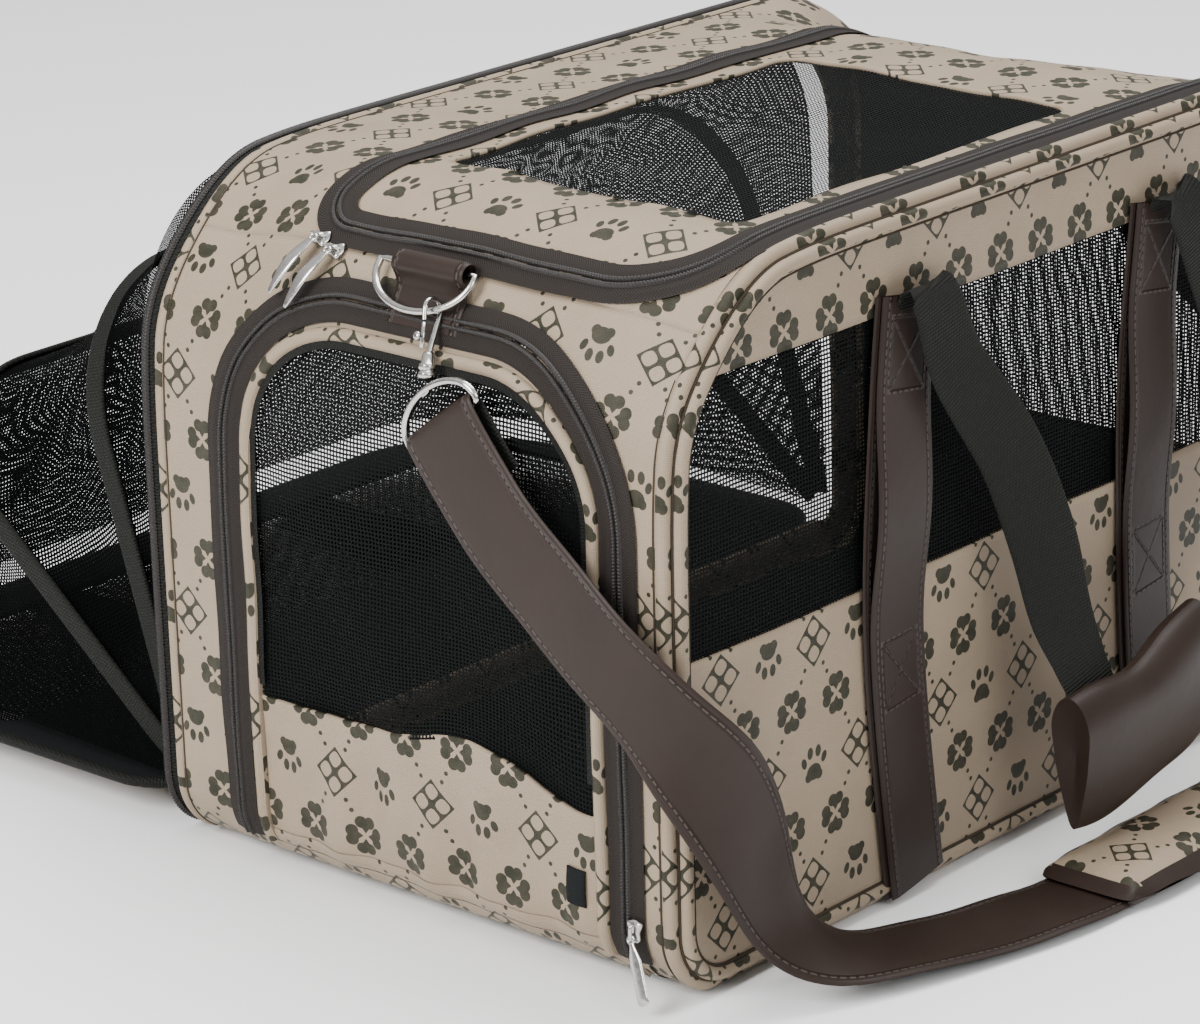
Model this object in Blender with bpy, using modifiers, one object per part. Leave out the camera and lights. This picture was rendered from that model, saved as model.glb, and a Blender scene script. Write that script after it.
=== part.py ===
"""Soft-sided pet carrier with a zipped front door, a zipped top flap and a fold-out mesh room.

Frame: X across the carrier (+X is the side with the hanging handle), Y along it (the front
door looks along -Y), Z up. The origin is the centre of the flat underside. Metres.
"""
import math

import bmesh
import bpy
import numpy as np
from mathutils import Matrix, Vector

# ---------------------------------------------------------------- driving dimensions
WIDTH = 0.330            # across the piping of both long sides
LENGTH = 0.547           # front wall to rear wall
HEIGHT = 0.340           # underside to top
TOP_RADIUS = 0.085       # bend of the wrap between top and end walls
BOTTOM_RADIUS = 0.035    # bend of the wrap between underside and end walls
WALL = 0.004             # foam-backed fabric wall
GAP = 0.0003             # clearance between touching solids
NET = 0.0015             # thickness of the mesh windows

PIPING = 0.0035          # radius of the piping cord
PIPING_X = WIDTH / 2 - 0.005
WRAP_X = PIPING_X - PIPING - 0.0005          # half width of the wrap
SIDE_X = 0.1585                              # inner face of the side walls
SIDE_INSET = 2 * PIPING + 0.0005             # side walls sit inside the piping

BOTTOM_SPLIT = 0.008     # underside panel below, end walls above
TOP_SPLIT = 0.316        # end walls below, top panel above

DOOR_X = 0.011           # the door sits a little off centre
DOOR_HALF = 0.1235
DOOR_TOP = 0.297
DOOR_BOTTOM = 0.016
DOOR_RADIUS = 0.080
TAPE = 0.011             # width of each half of a zip
TAPE_LIFT = 0.0004       # gap between a wall and the zip sewn on it
TAPE_THICK = 0.0014

FLAP_X = (-0.073, 0.146)
FLAP_Y = (-0.240, 0.180)
FLAP_RADII = (0.018, 0.048)
FLAP_NET_Y = (-0.180, 0.078)
FLAP_NET_X = (-0.052, 0.126)

SIDE_NET_Z = (0.1630, 0.2915)
REAR_NET_X = 0.105
REAR_NET_Z = (0.105, 0.240)

PIVOT_X = -0.172         # fold-out room: hinge line of ribs and outer panel
PIVOT_Z = 0.026
RIB_TILT = (16.5, 51.0)  # degrees from upright at rest
RIB_REACH = (0.2500, 0.2540)
RIB_HALF_LENGTH = (0.2520, 0.2560)
RIB_THICK = 0.002
RIB_BAND = 0.012
RIB_START = 0.010        # ribs and nets start this far from the hinge line
NET_REACH = 0.2475
NET_HALF_LENGTH = 0.2495
NET_SKIN = 0.0012
NET_START = 0.030
PANEL_DROP = 0.0065      # the outer panel lies this far under the hinge line
PANEL_REACH = 0.298
PANEL_START = 0.006
PANEL_HALF_LENGTH = 0.264

STRAP_WIDE = 0.040       # sewn straps on the long sides
STRAP_Y = 0.100
STRAP_TOP = 0.300
HANDLE_WIDE = 0.036
HANDLE_AXIS = (0.1725, 0.303)

CARRY_WIDE = 0.050       # shoulder strap
CARRY_THICK = 0.003
PAD_Y = (-0.062, 0.140)
PAD_X = (0.204, 0.266)
PAD_THICK = 0.016
PAD_GAP = 0.003

RING_X = 0.012           # centre of the ring tabs on the end walls
TAB_WIDE = 0.044
TAB_ROLL = 0.0055
ROLL_ANGLE = 46.5        # degrees round the top bend, from the top
RING_WIRE = 0.0018
RING_SHIFT = 0.008       # the ring has slid a little along its roll
RING_HALF = 0.029
RING_DROP = 0.0220
RING_SIDE = 0.003
HOOK_X = 0.022
STRAP_SIDE = Vector((0.80, 0.0, 0.60))       # across the strap where it leaves its ring
STRAP_DOWN = Vector((0.60, 0.0, -0.80))


# ---------------------------------------------------------------- scene and helpers
for old in list(bpy.data.objects):
    bpy.data.objects.remove(old, do_unlink=True)

carrier = bpy.data.collections.new("pet_carrier")
guides = bpy.data.collections.new("cutters")
bpy.context.scene.collection.children.link(carrier)
bpy.context.scene.collection.children.link(guides)


def material(name, colour, roughness, metallic=0.0, alpha=1.0):
    """A plain Principled material."""
    made = bpy.data.materials.new(name)
    made.use_nodes = True
    shader = made.node_tree.nodes["Principled BSDF"]
    shader.inputs["Base Color"].default_value = (*colour, 1.0)
    shader.inputs["Roughness"].default_value = roughness
    shader.inputs["Metallic"].default_value = metallic
    shader.inputs["Alpha"].default_value = alpha
    return made


FABRIC = material("printed_fabric", (0.50, 0.42, 0.35), 0.6)
NETTING = material("black_netting", (0.02, 0.02, 0.02), 0.7, alpha=0.6)
LEATHER = material("brown_leather", (0.10, 0.065, 0.055), 0.45)
TAPE_CLOTH = material("zip_tape", (0.06, 0.045, 0.04), 0.7)
BLACK = material("black_webbing", (0.015, 0.015, 0.015), 0.8)
METAL = material("nickel", (0.75, 0.73, 0.70), 0.2, 1.0)
LINING = material("dark_lining", (0.03, 0.035, 0.045), 0.8)
BOARD = material("base_board", (0.10, 0.10, 0.10), 0.6)


def adopt(obj, name, look):
    """Names an object, gives it its material and puts it in the carrier's collection."""
    obj.name = name
    obj.data.name = name
    obj.data.materials.clear()
    obj.data.materials.append(look)
    for group in list(obj.users_collection):
        group.objects.unlink(obj)
    carrier.objects.link(obj)
    return obj


def as_cutter(obj):
    """Turns an object into a guide that the build leaves out."""
    obj.display_type = "WIRE"
    obj.hide_render = True
    for group in list(obj.users_collection):
        group.objects.unlink(obj)
    guides.objects.link(obj)
    return obj


def evaluated_mesh(obj):
    """The object's mesh with its modifiers applied, in world space."""
    bpy.context.view_layer.update()
    graph = bpy.context.evaluated_depsgraph_get()
    mesh = bpy.data.meshes.new_from_object(obj.evaluated_get(graph))
    mesh.transform(obj.matrix_world)
    return mesh


def weld(mesh):
    """Joins loose caps and makes the faces point outwards."""
    work = bmesh.new()
    work.from_mesh(mesh)
    bmesh.ops.remove_doubles(work, verts=work.verts, dist=0.00001)
    bmesh.ops.recalc_face_normals(work, faces=work.faces)
    work.to_mesh(mesh)
    work.free()


def prism(loops, depth, frame):
    """Solid from flat outlines: u, v loops filled and extruded depth along the frame's third axis."""
    curve = bpy.data.curves.new("outline", "CURVE")
    curve.dimensions = "2D"
    curve.fill_mode = "BOTH"
    curve.extrude = depth / 2
    for loop in loops:
        spline = curve.splines.new("POLY")
        spline.points.add(len(loop) - 1)
        for point, (u, v) in zip(spline.points, loop):
            point.co = (u, v, 0.0, 1.0)
        spline.use_cyclic_u = True
    flat = bpy.data.objects.new("outline", curve)
    carrier.objects.link(flat)
    mesh = evaluated_mesh(flat)
    bpy.data.objects.remove(flat, do_unlink=True)
    bpy.data.curves.remove(curve)
    weld(mesh)
    mesh.transform(frame)
    solid = bpy.data.objects.new("prism", mesh)
    carrier.objects.link(solid)
    return solid


def facing_x(x):
    """Frame of an outline in Y and Z, extruded along X about x."""
    return Matrix.Translation((x, 0, 0)) @ Matrix(((0, 0, 1, 0), (1, 0, 0, 0), (0, 1, 0, 0), (0, 0, 0, 1)))


def facing_y(y):
    """Frame of an outline in X and Z, extruded along Y about y."""
    return Matrix.Translation((0, y, 0)) @ Matrix(((1, 0, 0, 0), (0, 0, -1, 0), (0, 1, 0, 0), (0, 0, 0, 1)))


def facing_z(z):
    """Frame of an outline in X and Y, extruded along Z about z."""
    return Matrix.Translation((0, 0, z))


def block(low, high):
    """Box between two corners."""
    work = bmesh.new()
    bmesh.ops.create_cube(work, size=1.0)
    size = [b - a for a, b in zip(low, high)]
    centre = [(a + b) / 2 for a, b in zip(low, high)]
    bmesh.ops.scale(work, vec=size, verts=work.verts)
    bmesh.ops.translate(work, vec=centre, verts=work.verts)
    mesh = bpy.data.meshes.new("block")
    work.to_mesh(mesh)
    work.free()
    solid = bpy.data.objects.new("block", mesh)
    carrier.objects.link(solid)
    return solid


def rod(start, end, radius, sides=16):
    """Cylinder between two points."""
    a, b = Vector(start), Vector(end)
    work = bmesh.new()
    bmesh.ops.create_cone(work, cap_ends=True, segments=sides, radius1=radius, radius2=radius,
                          depth=(b - a).length)
    turn = (b - a).to_track_quat("Z", "Y").to_matrix().to_4x4()
    bmesh.ops.transform(work, matrix=Matrix.Translation((a + b) / 2) @ turn, verts=work.verts)
    mesh = bpy.data.meshes.new("rod")
    work.to_mesh(mesh)
    work.free()
    solid = bpy.data.objects.new("rod", mesh)
    carrier.objects.link(solid)
    return solid


def wire(points, radius, closed=False):
    """Round wire along points, as a poly curve with a bevel."""
    curve = bpy.data.curves.new("wire", "CURVE")
    curve.dimensions = "3D"
    curve.bevel_depth = radius
    curve.bevel_resolution = 2
    curve.use_fill_caps = True
    spline = curve.splines.new("POLY")
    spline.points.add(len(points) - 1)
    for point, place in zip(spline.points, points):
        point.co = (*place, 1.0)
    spline.use_cyclic_u = closed
    made = bpy.data.objects.new("wire", curve)
    carrier.objects.link(made)
    return made


def solid_wire(points, radius, closed=False):
    """The same wire as a closed mesh, for Booleans and mirrored copies."""
    curve = wire(points, radius, closed)
    mesh = evaluated_mesh(curve)
    data = curve.data
    bpy.data.objects.remove(curve, do_unlink=True)
    bpy.data.curves.remove(data)
    weld(mesh)
    made = bpy.data.objects.new("wire", mesh)
    carrier.objects.link(made)
    return made


def boolean(obj, how, tool):
    """Adds an exact Boolean with a tool, which becomes a guide."""
    step = obj.modifiers.new(how.lower(), "BOOLEAN")
    step.operation = how
    step.object = as_cutter(tool)
    step.solver = "EXACT"
    return obj


def rear_copy(front, name, place):
    """The front piece mirrored to the rear end, then moved by place."""
    mesh = evaluated_mesh(front)
    mesh.transform(place @ Matrix.Scale(-1, 4, (0, 1, 0)))
    mesh.flip_normals()
    made = bpy.data.objects.new(name, mesh)
    carrier.objects.link(made)
    return adopt(made, name, front.data.materials[0])


def arc(centre, radius, start, end, steps):
    """Points on an arc, angles in degrees."""
    angles = [math.radians(start + (end - start) * i / steps) for i in range(steps + 1)]
    return [(centre[0] + radius * math.cos(a), centre[1] + radius * math.sin(a)) for a in angles]


def side_outline(offset, steps=8):
    """The loaf-shaped outline in Y and Z, offset outwards."""
    half = LENGTH / 2 + offset
    top, low = HEIGHT + offset, -offset
    r_top, r_low = TOP_RADIUS + offset, BOTTOM_RADIUS + offset
    return (arc((half - r_low, low + r_low), r_low, -90, 0, steps)
            + arc((half - r_top, top - r_top), r_top, 0, 90, steps)
            + arc((r_top - half, top - r_top), r_top, 90, 180, steps)
            + arc((r_low - half, low + r_low), r_low, 180, 270, steps))


def arch(offset, steps=8):
    """The door's arched outline in X and Z, offset outwards."""
    half, top, low = DOOR_HALF + offset, DOOR_TOP + offset, DOOR_BOTTOM - offset
    r = DOOR_RADIUS + offset
    return ([(DOOR_X - half, low), (DOOR_X + half, low)]
            + arc((DOOR_X + half - r, top - r), r, 0, 90, steps)
            + arc((DOOR_X - half + r, top - r), r, 90, 180, steps))


def flap_outline(offset, back=0.0, steps=6):
    """The top flap's outline in X and Y, offset outwards, and its hinge side moved back."""
    x0, x1, y0 = FLAP_X[0] - offset, FLAP_X[1] + offset, FLAP_Y[0] - offset
    left, right = FLAP_RADII[0] + offset, FLAP_RADII[1] + offset
    return ([(x1, FLAP_Y[1] + back), (x0, FLAP_Y[1] + back)]
            + arc((x0 + left, y0 + left), left, 180, 270, steps)
            + arc((x1 - right, y0 + right), right, 270, 360, steps))


def rounded_box_outline(low, high, radius, steps=5):
    """A rectangle with round corners."""
    x0, y0, x1, y1 = low[0], low[1], high[0], high[1]
    return (arc((x1 - radius, y0 + radius), radius, -90, 0, steps)
            + arc((x1 - radius, y1 - radius), radius, 0, 90, steps)
            + arc((x0 + radius, y1 - radius), radius, 90, 180, steps)
            + arc((x0 + radius, y0 + radius), radius, 180, 270, steps))


def wrap_shell(inner, outer, half_width, steps=8):
    """Loaf-shaped sleeve between two offsets of the outline."""
    return prism([side_outline(outer, steps), side_outline(inner, steps)], 2 * half_width, facing_x(0))


def smooth_path(points, count):
    """Evenly spaced points on a Catmull-Rom curve through the given points."""
    nodes = np.array(points, float)
    ends = np.vstack([2 * nodes[0] - nodes[1], nodes, 2 * nodes[-1] - nodes[-2]])
    fine = []
    for i in range(1, len(ends) - 2):
        for t in np.linspace(0, 1, 12, endpoint=False):
            a, b, c, d = ends[i - 1:i + 3]
            fine.append(0.5 * (2 * b + (c - a) * t + (2 * a - 5 * b + 4 * c - d) * t * t
                               + (3 * b - a - 3 * c + d) * t ** 3))
    fine = np.array(fine + [nodes[-1]])
    run = np.concatenate([[0], np.cumsum(np.linalg.norm(np.diff(fine, axis=0), axis=1))])
    stops = np.linspace(0, run[-1], count)
    return np.stack([np.interp(stops, run, fine[:, k]) for k in range(fine.shape[1])], axis=1)


def band(stations, wide, thick, count):
    """Flat strap: a rectangle carried along a path. Each station is a centre and its width direction."""
    rows = smooth_path([(*p, *w) for p, w in stations], count)
    centre, across = rows[:, :3], rows[:, 3:]
    along = np.gradient(centre, axis=0)
    along /= np.linalg.norm(along, axis=1, keepdims=True)
    across -= along * np.sum(across * along, axis=1, keepdims=True)
    across /= np.linalg.norm(across, axis=1, keepdims=True)
    normal = np.cross(across, along)
    corners = [(1, 1), (-1, 1), (-1, -1), (1, -1)]
    ring = [centre + across * s * wide / 2 + normal * t * thick / 2 for s, t in corners]
    points = np.stack(ring, axis=1).reshape(-1, 3)
    faces = [[4 * i + k, 4 * i + (k + 1) % 4, 4 * i + 4 + (k + 1) % 4, 4 * i + 4 + k]
             for i in range(count - 1) for k in range(4)]
    faces += [[0, 1, 2, 3], [4 * count - 1, 4 * count - 2, 4 * count - 3, 4 * count - 4]]
    mesh = bpy.data.meshes.new("band")
    mesh.from_pydata(points.tolist(), [], faces)
    weld(mesh)
    made = bpy.data.objects.new("band", mesh)
    carrier.objects.link(made)
    return made


def move_origin(obj, place):
    """Puts an object's origin on its joint axis without moving its mesh."""
    obj.data.transform(Matrix.Translation(-Vector(place)))
    obj.location = place


# ---------------------------------------------------------------- wrap: underside, ends and top
FAR = 1.0
door_hinge_y = -LENGTH / 2 + BOTTOM_RADIUS - math.sqrt(BOTTOM_RADIUS ** 2
                                                         - (BOTTOM_RADIUS - DOOR_BOTTOM) ** 2)


def clip(obj, low, high):
    """Keeps the part of a piece inside a box."""
    return boolean(obj, "INTERSECT", block(low, high))


def wrap_panels():
    """Underside, front, rear and top panels, cut from one loaf-shaped sleeve."""
    under = clip(wrap_shell(-WALL, 0, WRAP_X), (-FAR, -FAR, -FAR), (FAR, FAR, BOTTOM_SPLIT - GAP))
    adopt(under, "bottom_panel", FABRIC)

    front = clip(wrap_shell(-WALL, 0, WRAP_X), (-FAR, -FAR, BOTTOM_SPLIT), (FAR, 0, TOP_SPLIT - GAP))
    boolean(front, "DIFFERENCE", prism([arch(GAP)], 0.2, facing_y(-LENGTH / 2)))
    adopt(front, "front_panel", FABRIC)

    rear = clip(wrap_shell(-WALL, 0, WRAP_X), (-FAR, 0, BOTTOM_SPLIT), (FAR, FAR, TOP_SPLIT - GAP))
    window = rounded_box_outline((-REAR_NET_X, REAR_NET_Z[0]), (REAR_NET_X, REAR_NET_Z[1]), 0.030)
    boolean(rear, "DIFFERENCE", prism([window], 0.1, facing_y(LENGTH / 2)))
    adopt(rear, "rear_panel", FABRIC)

    top = clip(wrap_shell(-WALL, 0, WRAP_X), (-FAR, -FAR, TOP_SPLIT), (FAR, FAR, FAR))
    boolean(top, "DIFFERENCE", prism([flap_outline(GAP, GAP)], 0.2, facing_z(HEIGHT)))
    adopt(top, "top_panel", FABRIC)


def rear_window():
    """Net that fills the rear window."""
    edge = 0.0005
    outline = rounded_box_outline((-REAR_NET_X + edge, REAR_NET_Z[0] + edge),
                                  (REAR_NET_X - edge, REAR_NET_Z[1] - edge), 0.030 - edge)
    adopt(prism([outline], NET, facing_y(LENGTH / 2 - WALL / 2)), "rear_mesh", NETTING)


# ---------------------------------------------------------------- long sides
def right_side():
    """Printed lower and upper panels with a net window between them."""
    bounds = {"right_lower_panel": (-FAR, SIDE_NET_Z[0] - GAP, WALL, FABRIC),
              "right_mesh": (*SIDE_NET_Z, NET, NETTING),
              "right_upper_panel": (SIDE_NET_Z[1] + GAP, FAR, WALL, FABRIC)}
    for name, (low, high, thick, look) in bounds.items():
        plate = prism([side_outline(-SIDE_INSET)], thick, facing_x(SIDE_X + WALL / 2))
        adopt(clip(plate, (-FAR, -FAR, low), (FAR, FAR, high)), name, look)


def left_rim():
    """Frame round the wide left opening, to which the fold-out room is zipped."""
    loops = [side_outline(-SIDE_INSET), side_outline(-0.024)]
    adopt(prism(loops, WALL, facing_x(-SIDE_X - WALL / 2)), "left_rim", FABRIC)


def piping():
    """A cord sewn round the edge of each long side."""
    for name, x in (("right_piping", PIPING_X), ("left_piping", -PIPING_X)):
        path = [(x, y, z) for y, z in side_outline(-PIPING)]
        adopt(wire(path, PIPING, closed=True), name, FABRIC)


def side_straps():
    """Two leather straps sewn up the right side, from the underside to the handle loops."""
    for name, y in (("right_strap_front", -STRAP_Y), ("right_strap_rear", STRAP_Y)):
        outline = rounded_box_outline((y - STRAP_WIDE / 2, 0.004), (y + STRAP_WIDE / 2, STRAP_TOP), 0.003, 2)
        adopt(prism([outline], 0.003, facing_x(WIDTH / 2 + 0.0010)), name, LEATHER)


# ---------------------------------------------------------------- floor
def floor():
    """Stiff base board and the loose mat on it."""
    board = rounded_box_outline((-0.148, -0.230), (0.148, 0.230), 0.012)
    adopt(prism([board], 0.003, facing_z(0.0060)), "base_board", BOARD)
    mat = rounded_box_outline((-0.150, -0.236), (0.150, 0.236), 0.020)
    adopt(prism([mat], 0.012, facing_z(0.0142)), "floor_mat", LINING)


# ---------------------------------------------------------------- front door
NET_LOW = 0.100


def front_door():
    """Arched door with a net window and one half of its zip. It hinges on the seam at its foot."""
    axis = (DOOR_X, door_hinge_y, DOOR_BOTTOM)
    window = [(x, max(z, NET_LOW)) for x, z in arch(-0.017)]

    panel = boolean(wrap_shell(-WALL, 0, WRAP_X), "INTERSECT",
                    prism([arch(-GAP), window], 0.1, facing_y(-LENGTH / 2)))
    adopt(panel, "front_door", FABRIC)

    pane = [(x, max(z, NET_LOW + GAP)) for x, z in arch(-0.0175)]
    net = boolean(wrap_shell(-WALL / 2 - NET / 2, -WALL / 2 + NET / 2, WRAP_X), "INTERSECT",
                  prism([pane], 0.1, facing_y(-LENGTH / 2)))
    adopt(net, "front_door_mesh", NETTING)

    tag = block((DOOR_X + 0.088, -LENGTH / 2 - 0.0014, 0.038), (DOOR_X + 0.100, -LENGTH / 2 - 0.0004, 0.056))
    adopt(tag, "front_tag", BLACK)
    for piece in (panel, net, tag):
        piece.data = evaluated_local(piece)
        piece.modifiers.clear()
        move_origin(piece, axis)


def evaluated_local(obj):
    """An object's evaluated mesh with its material kept."""
    look = obj.data.materials[0]
    mesh = evaluated_mesh(obj)
    mesh.materials.clear()
    mesh.materials.append(look)
    mesh.name = obj.name
    return mesh


def zip_half(name, outer, inner, frame, limits):
    """One half of a zip: a ribbon on the wrap between two outlines, cut to its limits."""
    ribbon = wrap_shell(TAPE_LIFT, TAPE_LIFT + TAPE_THICK, WRAP_X - 0.001, 8)
    boolean(ribbon, "INTERSECT", prism([outer, inner], 0.12, frame))
    clip(ribbon, *limits)
    adopt(ribbon, name, TAPE_CLOTH)
    return ribbon


def zips():
    """Both halves of the door's zip and of the flap's zip."""
    at_front = facing_y(-LENGTH / 2)
    above_foot = ((-FAR, -FAR, DOOR_BOTTOM + 0.001), (FAR, FAR, FAR))
    zip_half("front_zip_outer", arch(TAPE), arch(GAP / 2), at_front, above_foot)
    inner = zip_half("front_zip_inner", arch(-GAP / 2), arch(-TAPE), at_front, above_foot)
    inner.data = evaluated_local(inner)
    inner.modifiers.clear()
    move_origin(inner, (DOOR_X, door_hinge_y, DOOR_BOTTOM))

    on_top = facing_z(HEIGHT - 0.03)
    ahead_of_hinge = ((-FAR, -FAR, 0), (FAR, FLAP_Y[1] - 0.004, FAR))
    zip_half("top_zip_outer", flap_outline(TAPE, 0.02), flap_outline(GAP / 2, 0.01), on_top, ahead_of_hinge)
    inner = zip_half("top_zip_inner", flap_outline(-GAP / 2, 0.02), flap_outline(-TAPE, 0.01), on_top,
                     ahead_of_hinge)
    inner.data = evaluated_local(inner)
    inner.modifiers.clear()
    move_origin(inner, (0, FLAP_Y[1], HEIGHT))


# ---------------------------------------------------------------- top flap
def top_flap():
    """Flap with a net window, hinged across its rear edge."""
    axis = (0, FLAP_Y[1], HEIGHT)
    window = rounded_box_outline((FLAP_NET_X[0], FLAP_NET_Y[0]), (FLAP_NET_X[1], FLAP_NET_Y[1]), 0.012)
    panel = boolean(wrap_shell(-WALL, 0, WRAP_X), "INTERSECT",
                    prism([flap_outline(-GAP), window], 0.1, facing_z(HEIGHT - 0.02)))
    adopt(panel, "top_flap", FABRIC)
    edge = 0.0005
    outline = rounded_box_outline((FLAP_NET_X[0] + edge, FLAP_NET_Y[0] + edge),
                                  (FLAP_NET_X[1] - edge, FLAP_NET_Y[1] - edge), 0.012 - edge)
    net = adopt(prism([outline], NET, facing_z(HEIGHT - WALL / 2)), "top_flap_mesh", NETTING)
    for piece in (panel, net):
        piece.data = evaluated_local(piece)
        piece.modifiers.clear()
        move_origin(piece, axis)


# ---------------------------------------------------------------- zip sliders and pulls
def slider(name, centre, along, out):
    """Small rounded slider body with a bridge for its pull."""
    along, out = Vector(along).normalized(), Vector(out).normalized()
    across = along.cross(out)
    turn = Matrix((across, along, out)).transposed().to_4x4()
    outline = rounded_box_outline((-0.004, -0.0055), (0.004, 0.0055), 0.0025, 3)
    body = prism([outline], 0.003, Matrix.Translation(Vector(centre)) @ turn)
    adopt(body, name, METAL)
    move_origin(body, centre)
    return body


def pull(name, route, across):
    """Flat metal tongue that hangs from a slider, along a route of three points."""
    start = route[0]
    made = band([(point, across) for point in route], 0.0060, 0.0014, 6)
    adopt(made, name, METAL)
    move_origin(made, start)
    return made


def bend_point(angle, offset):
    """Y and Z on the front top bend, at an angle from the top, offset outwards."""
    a = math.radians(angle)
    r = TOP_RADIUS + offset
    return -LENGTH / 2 + TOP_RADIUS - r * math.sin(a), HEIGHT - TOP_RADIUS + r * math.cos(a)


SLIDER_OFF = TAPE_LIFT + TAPE_THICK + GAP + 0.0015
FRONT_SLIDER = (DOOR_X + DOOR_HALF + 0.0055, -LENGTH / 2 - SLIDER_OFF, 0.036)
TOP_SLIDERS = {"top_slider_left": (-0.0665, 37.0), "top_slider_right": (-0.0545, 40.0)}


def sliders():
    """Three sliders: one at the foot of the door's zip, two parked at the flap's front left corner."""
    slider("front_slider", FRONT_SLIDER, (0, 0, 1), (0, -1, 0))
    x, y, z = FRONT_SLIDER
    pull("front_pull", [(x + 0.007 * t, y - 0.0030 - 0.004 * t, z - 0.003 - 0.013 * t) for t in (0, 1, 2)],
         (1, 0, 0))
    for name, (x, angle) in TOP_SLIDERS.items():
        a = math.radians(angle)
        y, z = bend_point(angle + 6.5, SLIDER_OFF)
        slider(name, (x, y, z), (1, 0, 0), (0, -math.sin(a), math.cos(a)))
        drape = [(0.0, 8.0, 0.0042), (-0.006, 17.0, 0.0060), (-0.012, 27.0, 0.0055)]
        route = [(x + shift, *bend_point(angle + turn, SLIDER_OFF + lift)) for shift, turn, lift in drape]
        pull(name.replace("slider", "pull"), route, (1, 0, 0))


# ---------------------------------------------------------------- rings, snap hooks and their tabs
REAR_TURN = math.radians(15.5)    # the rear ring sits this much further down its bend than the front one
REAR_BEND = Vector((0.0, LENGTH / 2 - TOP_RADIUS, HEIGHT - TOP_RADIUS))
REAR_PLACE = (Matrix.Translation(REAR_BEND) @ Matrix.Rotation(-REAR_TURN, 4, "X")
              @ Matrix.Translation(-REAR_BEND))


def ring_hardware():
    """Leather tab, D-ring, snap hook, its thumb bolt and the strap's ring, at the front and the rear."""
    roll_y, roll_z = bend_point(ROLL_ANGLE, TAPE_LIFT + TAPE_THICK + TAB_ROLL + 0.0006)
    roll = rod((RING_X - TAB_WIDE / 2, roll_y, roll_z), (RING_X + TAB_WIDE / 2, roll_y, roll_z), TAB_ROLL)
    bore = rod((RING_X - TAB_WIDE, roll_y, roll_z), (RING_X + TAB_WIDE, roll_y, roll_z), RING_WIRE + 0.0010)
    boolean(roll, "DIFFERENCE", bore)
    adopt(roll, "ring_tab_front", LEATHER)
    tab_rear = rear_copy(roll, "ring_tab_rear", REAR_PLACE)

    drop = Vector((0.0, -0.645, -0.764))
    hang = Vector((RING_SHIFT, roll_y, roll_z))
    flat = [(-RING_HALF, 0.0)] + [(u, RING_SIDE + v) for u, v in arc_oval(RING_HALF, RING_DROP - RING_SIDE, 12)]
    flat += [(RING_HALF, 0.0)]
    path = [tuple(hang + Vector((u, 0, 0)) + drop * v) for u, v in flat]
    ring = adopt(solid_wire(path, RING_WIRE, closed=True), "ring_front", METAL)
    ring_rear = rear_copy(ring, "ring_rear", REAR_PLACE)

    aside = HOOK_X - RING_SHIFT
    sag = RING_SIDE + (RING_DROP - RING_SIDE) * math.sqrt(1 - (aside / RING_HALF) ** 2)
    low = hang + drop * sag + Vector((aside, 0, 0))
    down = Vector((0.22, -0.42, -0.90)).normalized()
    out = Vector((0, -1, 0)) - down * down.dot(Vector((0, -1, 0)))
    out.normalize()
    claw = [tuple(low + out * u - down * v) for u, v in
            ((0.0000, -0.0240), (-0.0016, -0.0120), (-0.0040, -0.0060), (-0.0048, 0.0), (-0.0034, 0.0040),
             (0.0, 0.0056), (0.0034, 0.0040), (0.0048, 0.0), (0.0046, -0.0060))]
    hook = solid_wire(claw, 0.0013)
    barrel = rod(tuple(low + down * 0.0200), tuple(low + down * 0.0310), 0.0040)
    boolean(hook, "UNION", barrel)
    adopt(hook, "snap_hook_front", METAL)
    hook_rear = rear_copy(hook, "snap_hook_rear", REAR_PLACE)

    gate = low + out * 0.0046
    bolt = rod(tuple(gate + down * 0.0078), tuple(gate + down * 0.0165), 0.0012, 10)
    thumb = gate + down * 0.0130
    boolean(bolt, "UNION", rod(tuple(thumb + out * 0.0004), tuple(thumb + out * 0.0045), 0.0016, 10))
    adopt(bolt, "hook_bolt_front", METAL)
    bolt_rear = rear_copy(bolt, "hook_bolt_rear", REAR_PLACE)

    eye = low + down * (0.0310 + RING_WIRE + 0.0035)
    flat = [(-0.026, 0.018), (-0.026, 0.015)] + [(u, 0.015 - v) for u, v in arc_oval(0.026, 0.015, 12)]
    flat += [(0.026, 0.015), (0.026, 0.018)]
    path = [tuple(eye + STRAP_SIDE * u + STRAP_DOWN * v) for u, v in flat]
    strap_ring = adopt(solid_wire(path, RING_WIRE, closed=True), "strap_ring_front", METAL)
    strap_ring_rear = rear_copy(strap_ring, "strap_ring_rear", REAR_PLACE)

    for pieces, place in (((ring, ring_rear), hang), ((hook, hook_rear), low),
                          ((bolt, bolt_rear), low), ((strap_ring, strap_ring_rear), eye)):
        rear_place = REAR_PLACE @ Vector((place[0], -place[1], place[2]))
        for piece, origin in zip(pieces, (place, rear_place)):
            piece.data = evaluated_local(piece)
            piece.modifiers.clear()
            move_origin(piece, tuple(origin))
    return eye + STRAP_DOWN * 0.018


def arc_oval(half, depth, steps):
    """Half an oval hanging below the line v = 0, from -half to +half."""
    angles = [math.pi + math.pi * i / steps for i in range(1, steps)]
    return [(half * math.cos(a), -depth * math.sin(a)) for a in angles]


# ---------------------------------------------------------------- shoulder strap
STRAP_BEND_Z = 0.235      # the strap above this height turns with the rear ring


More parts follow.
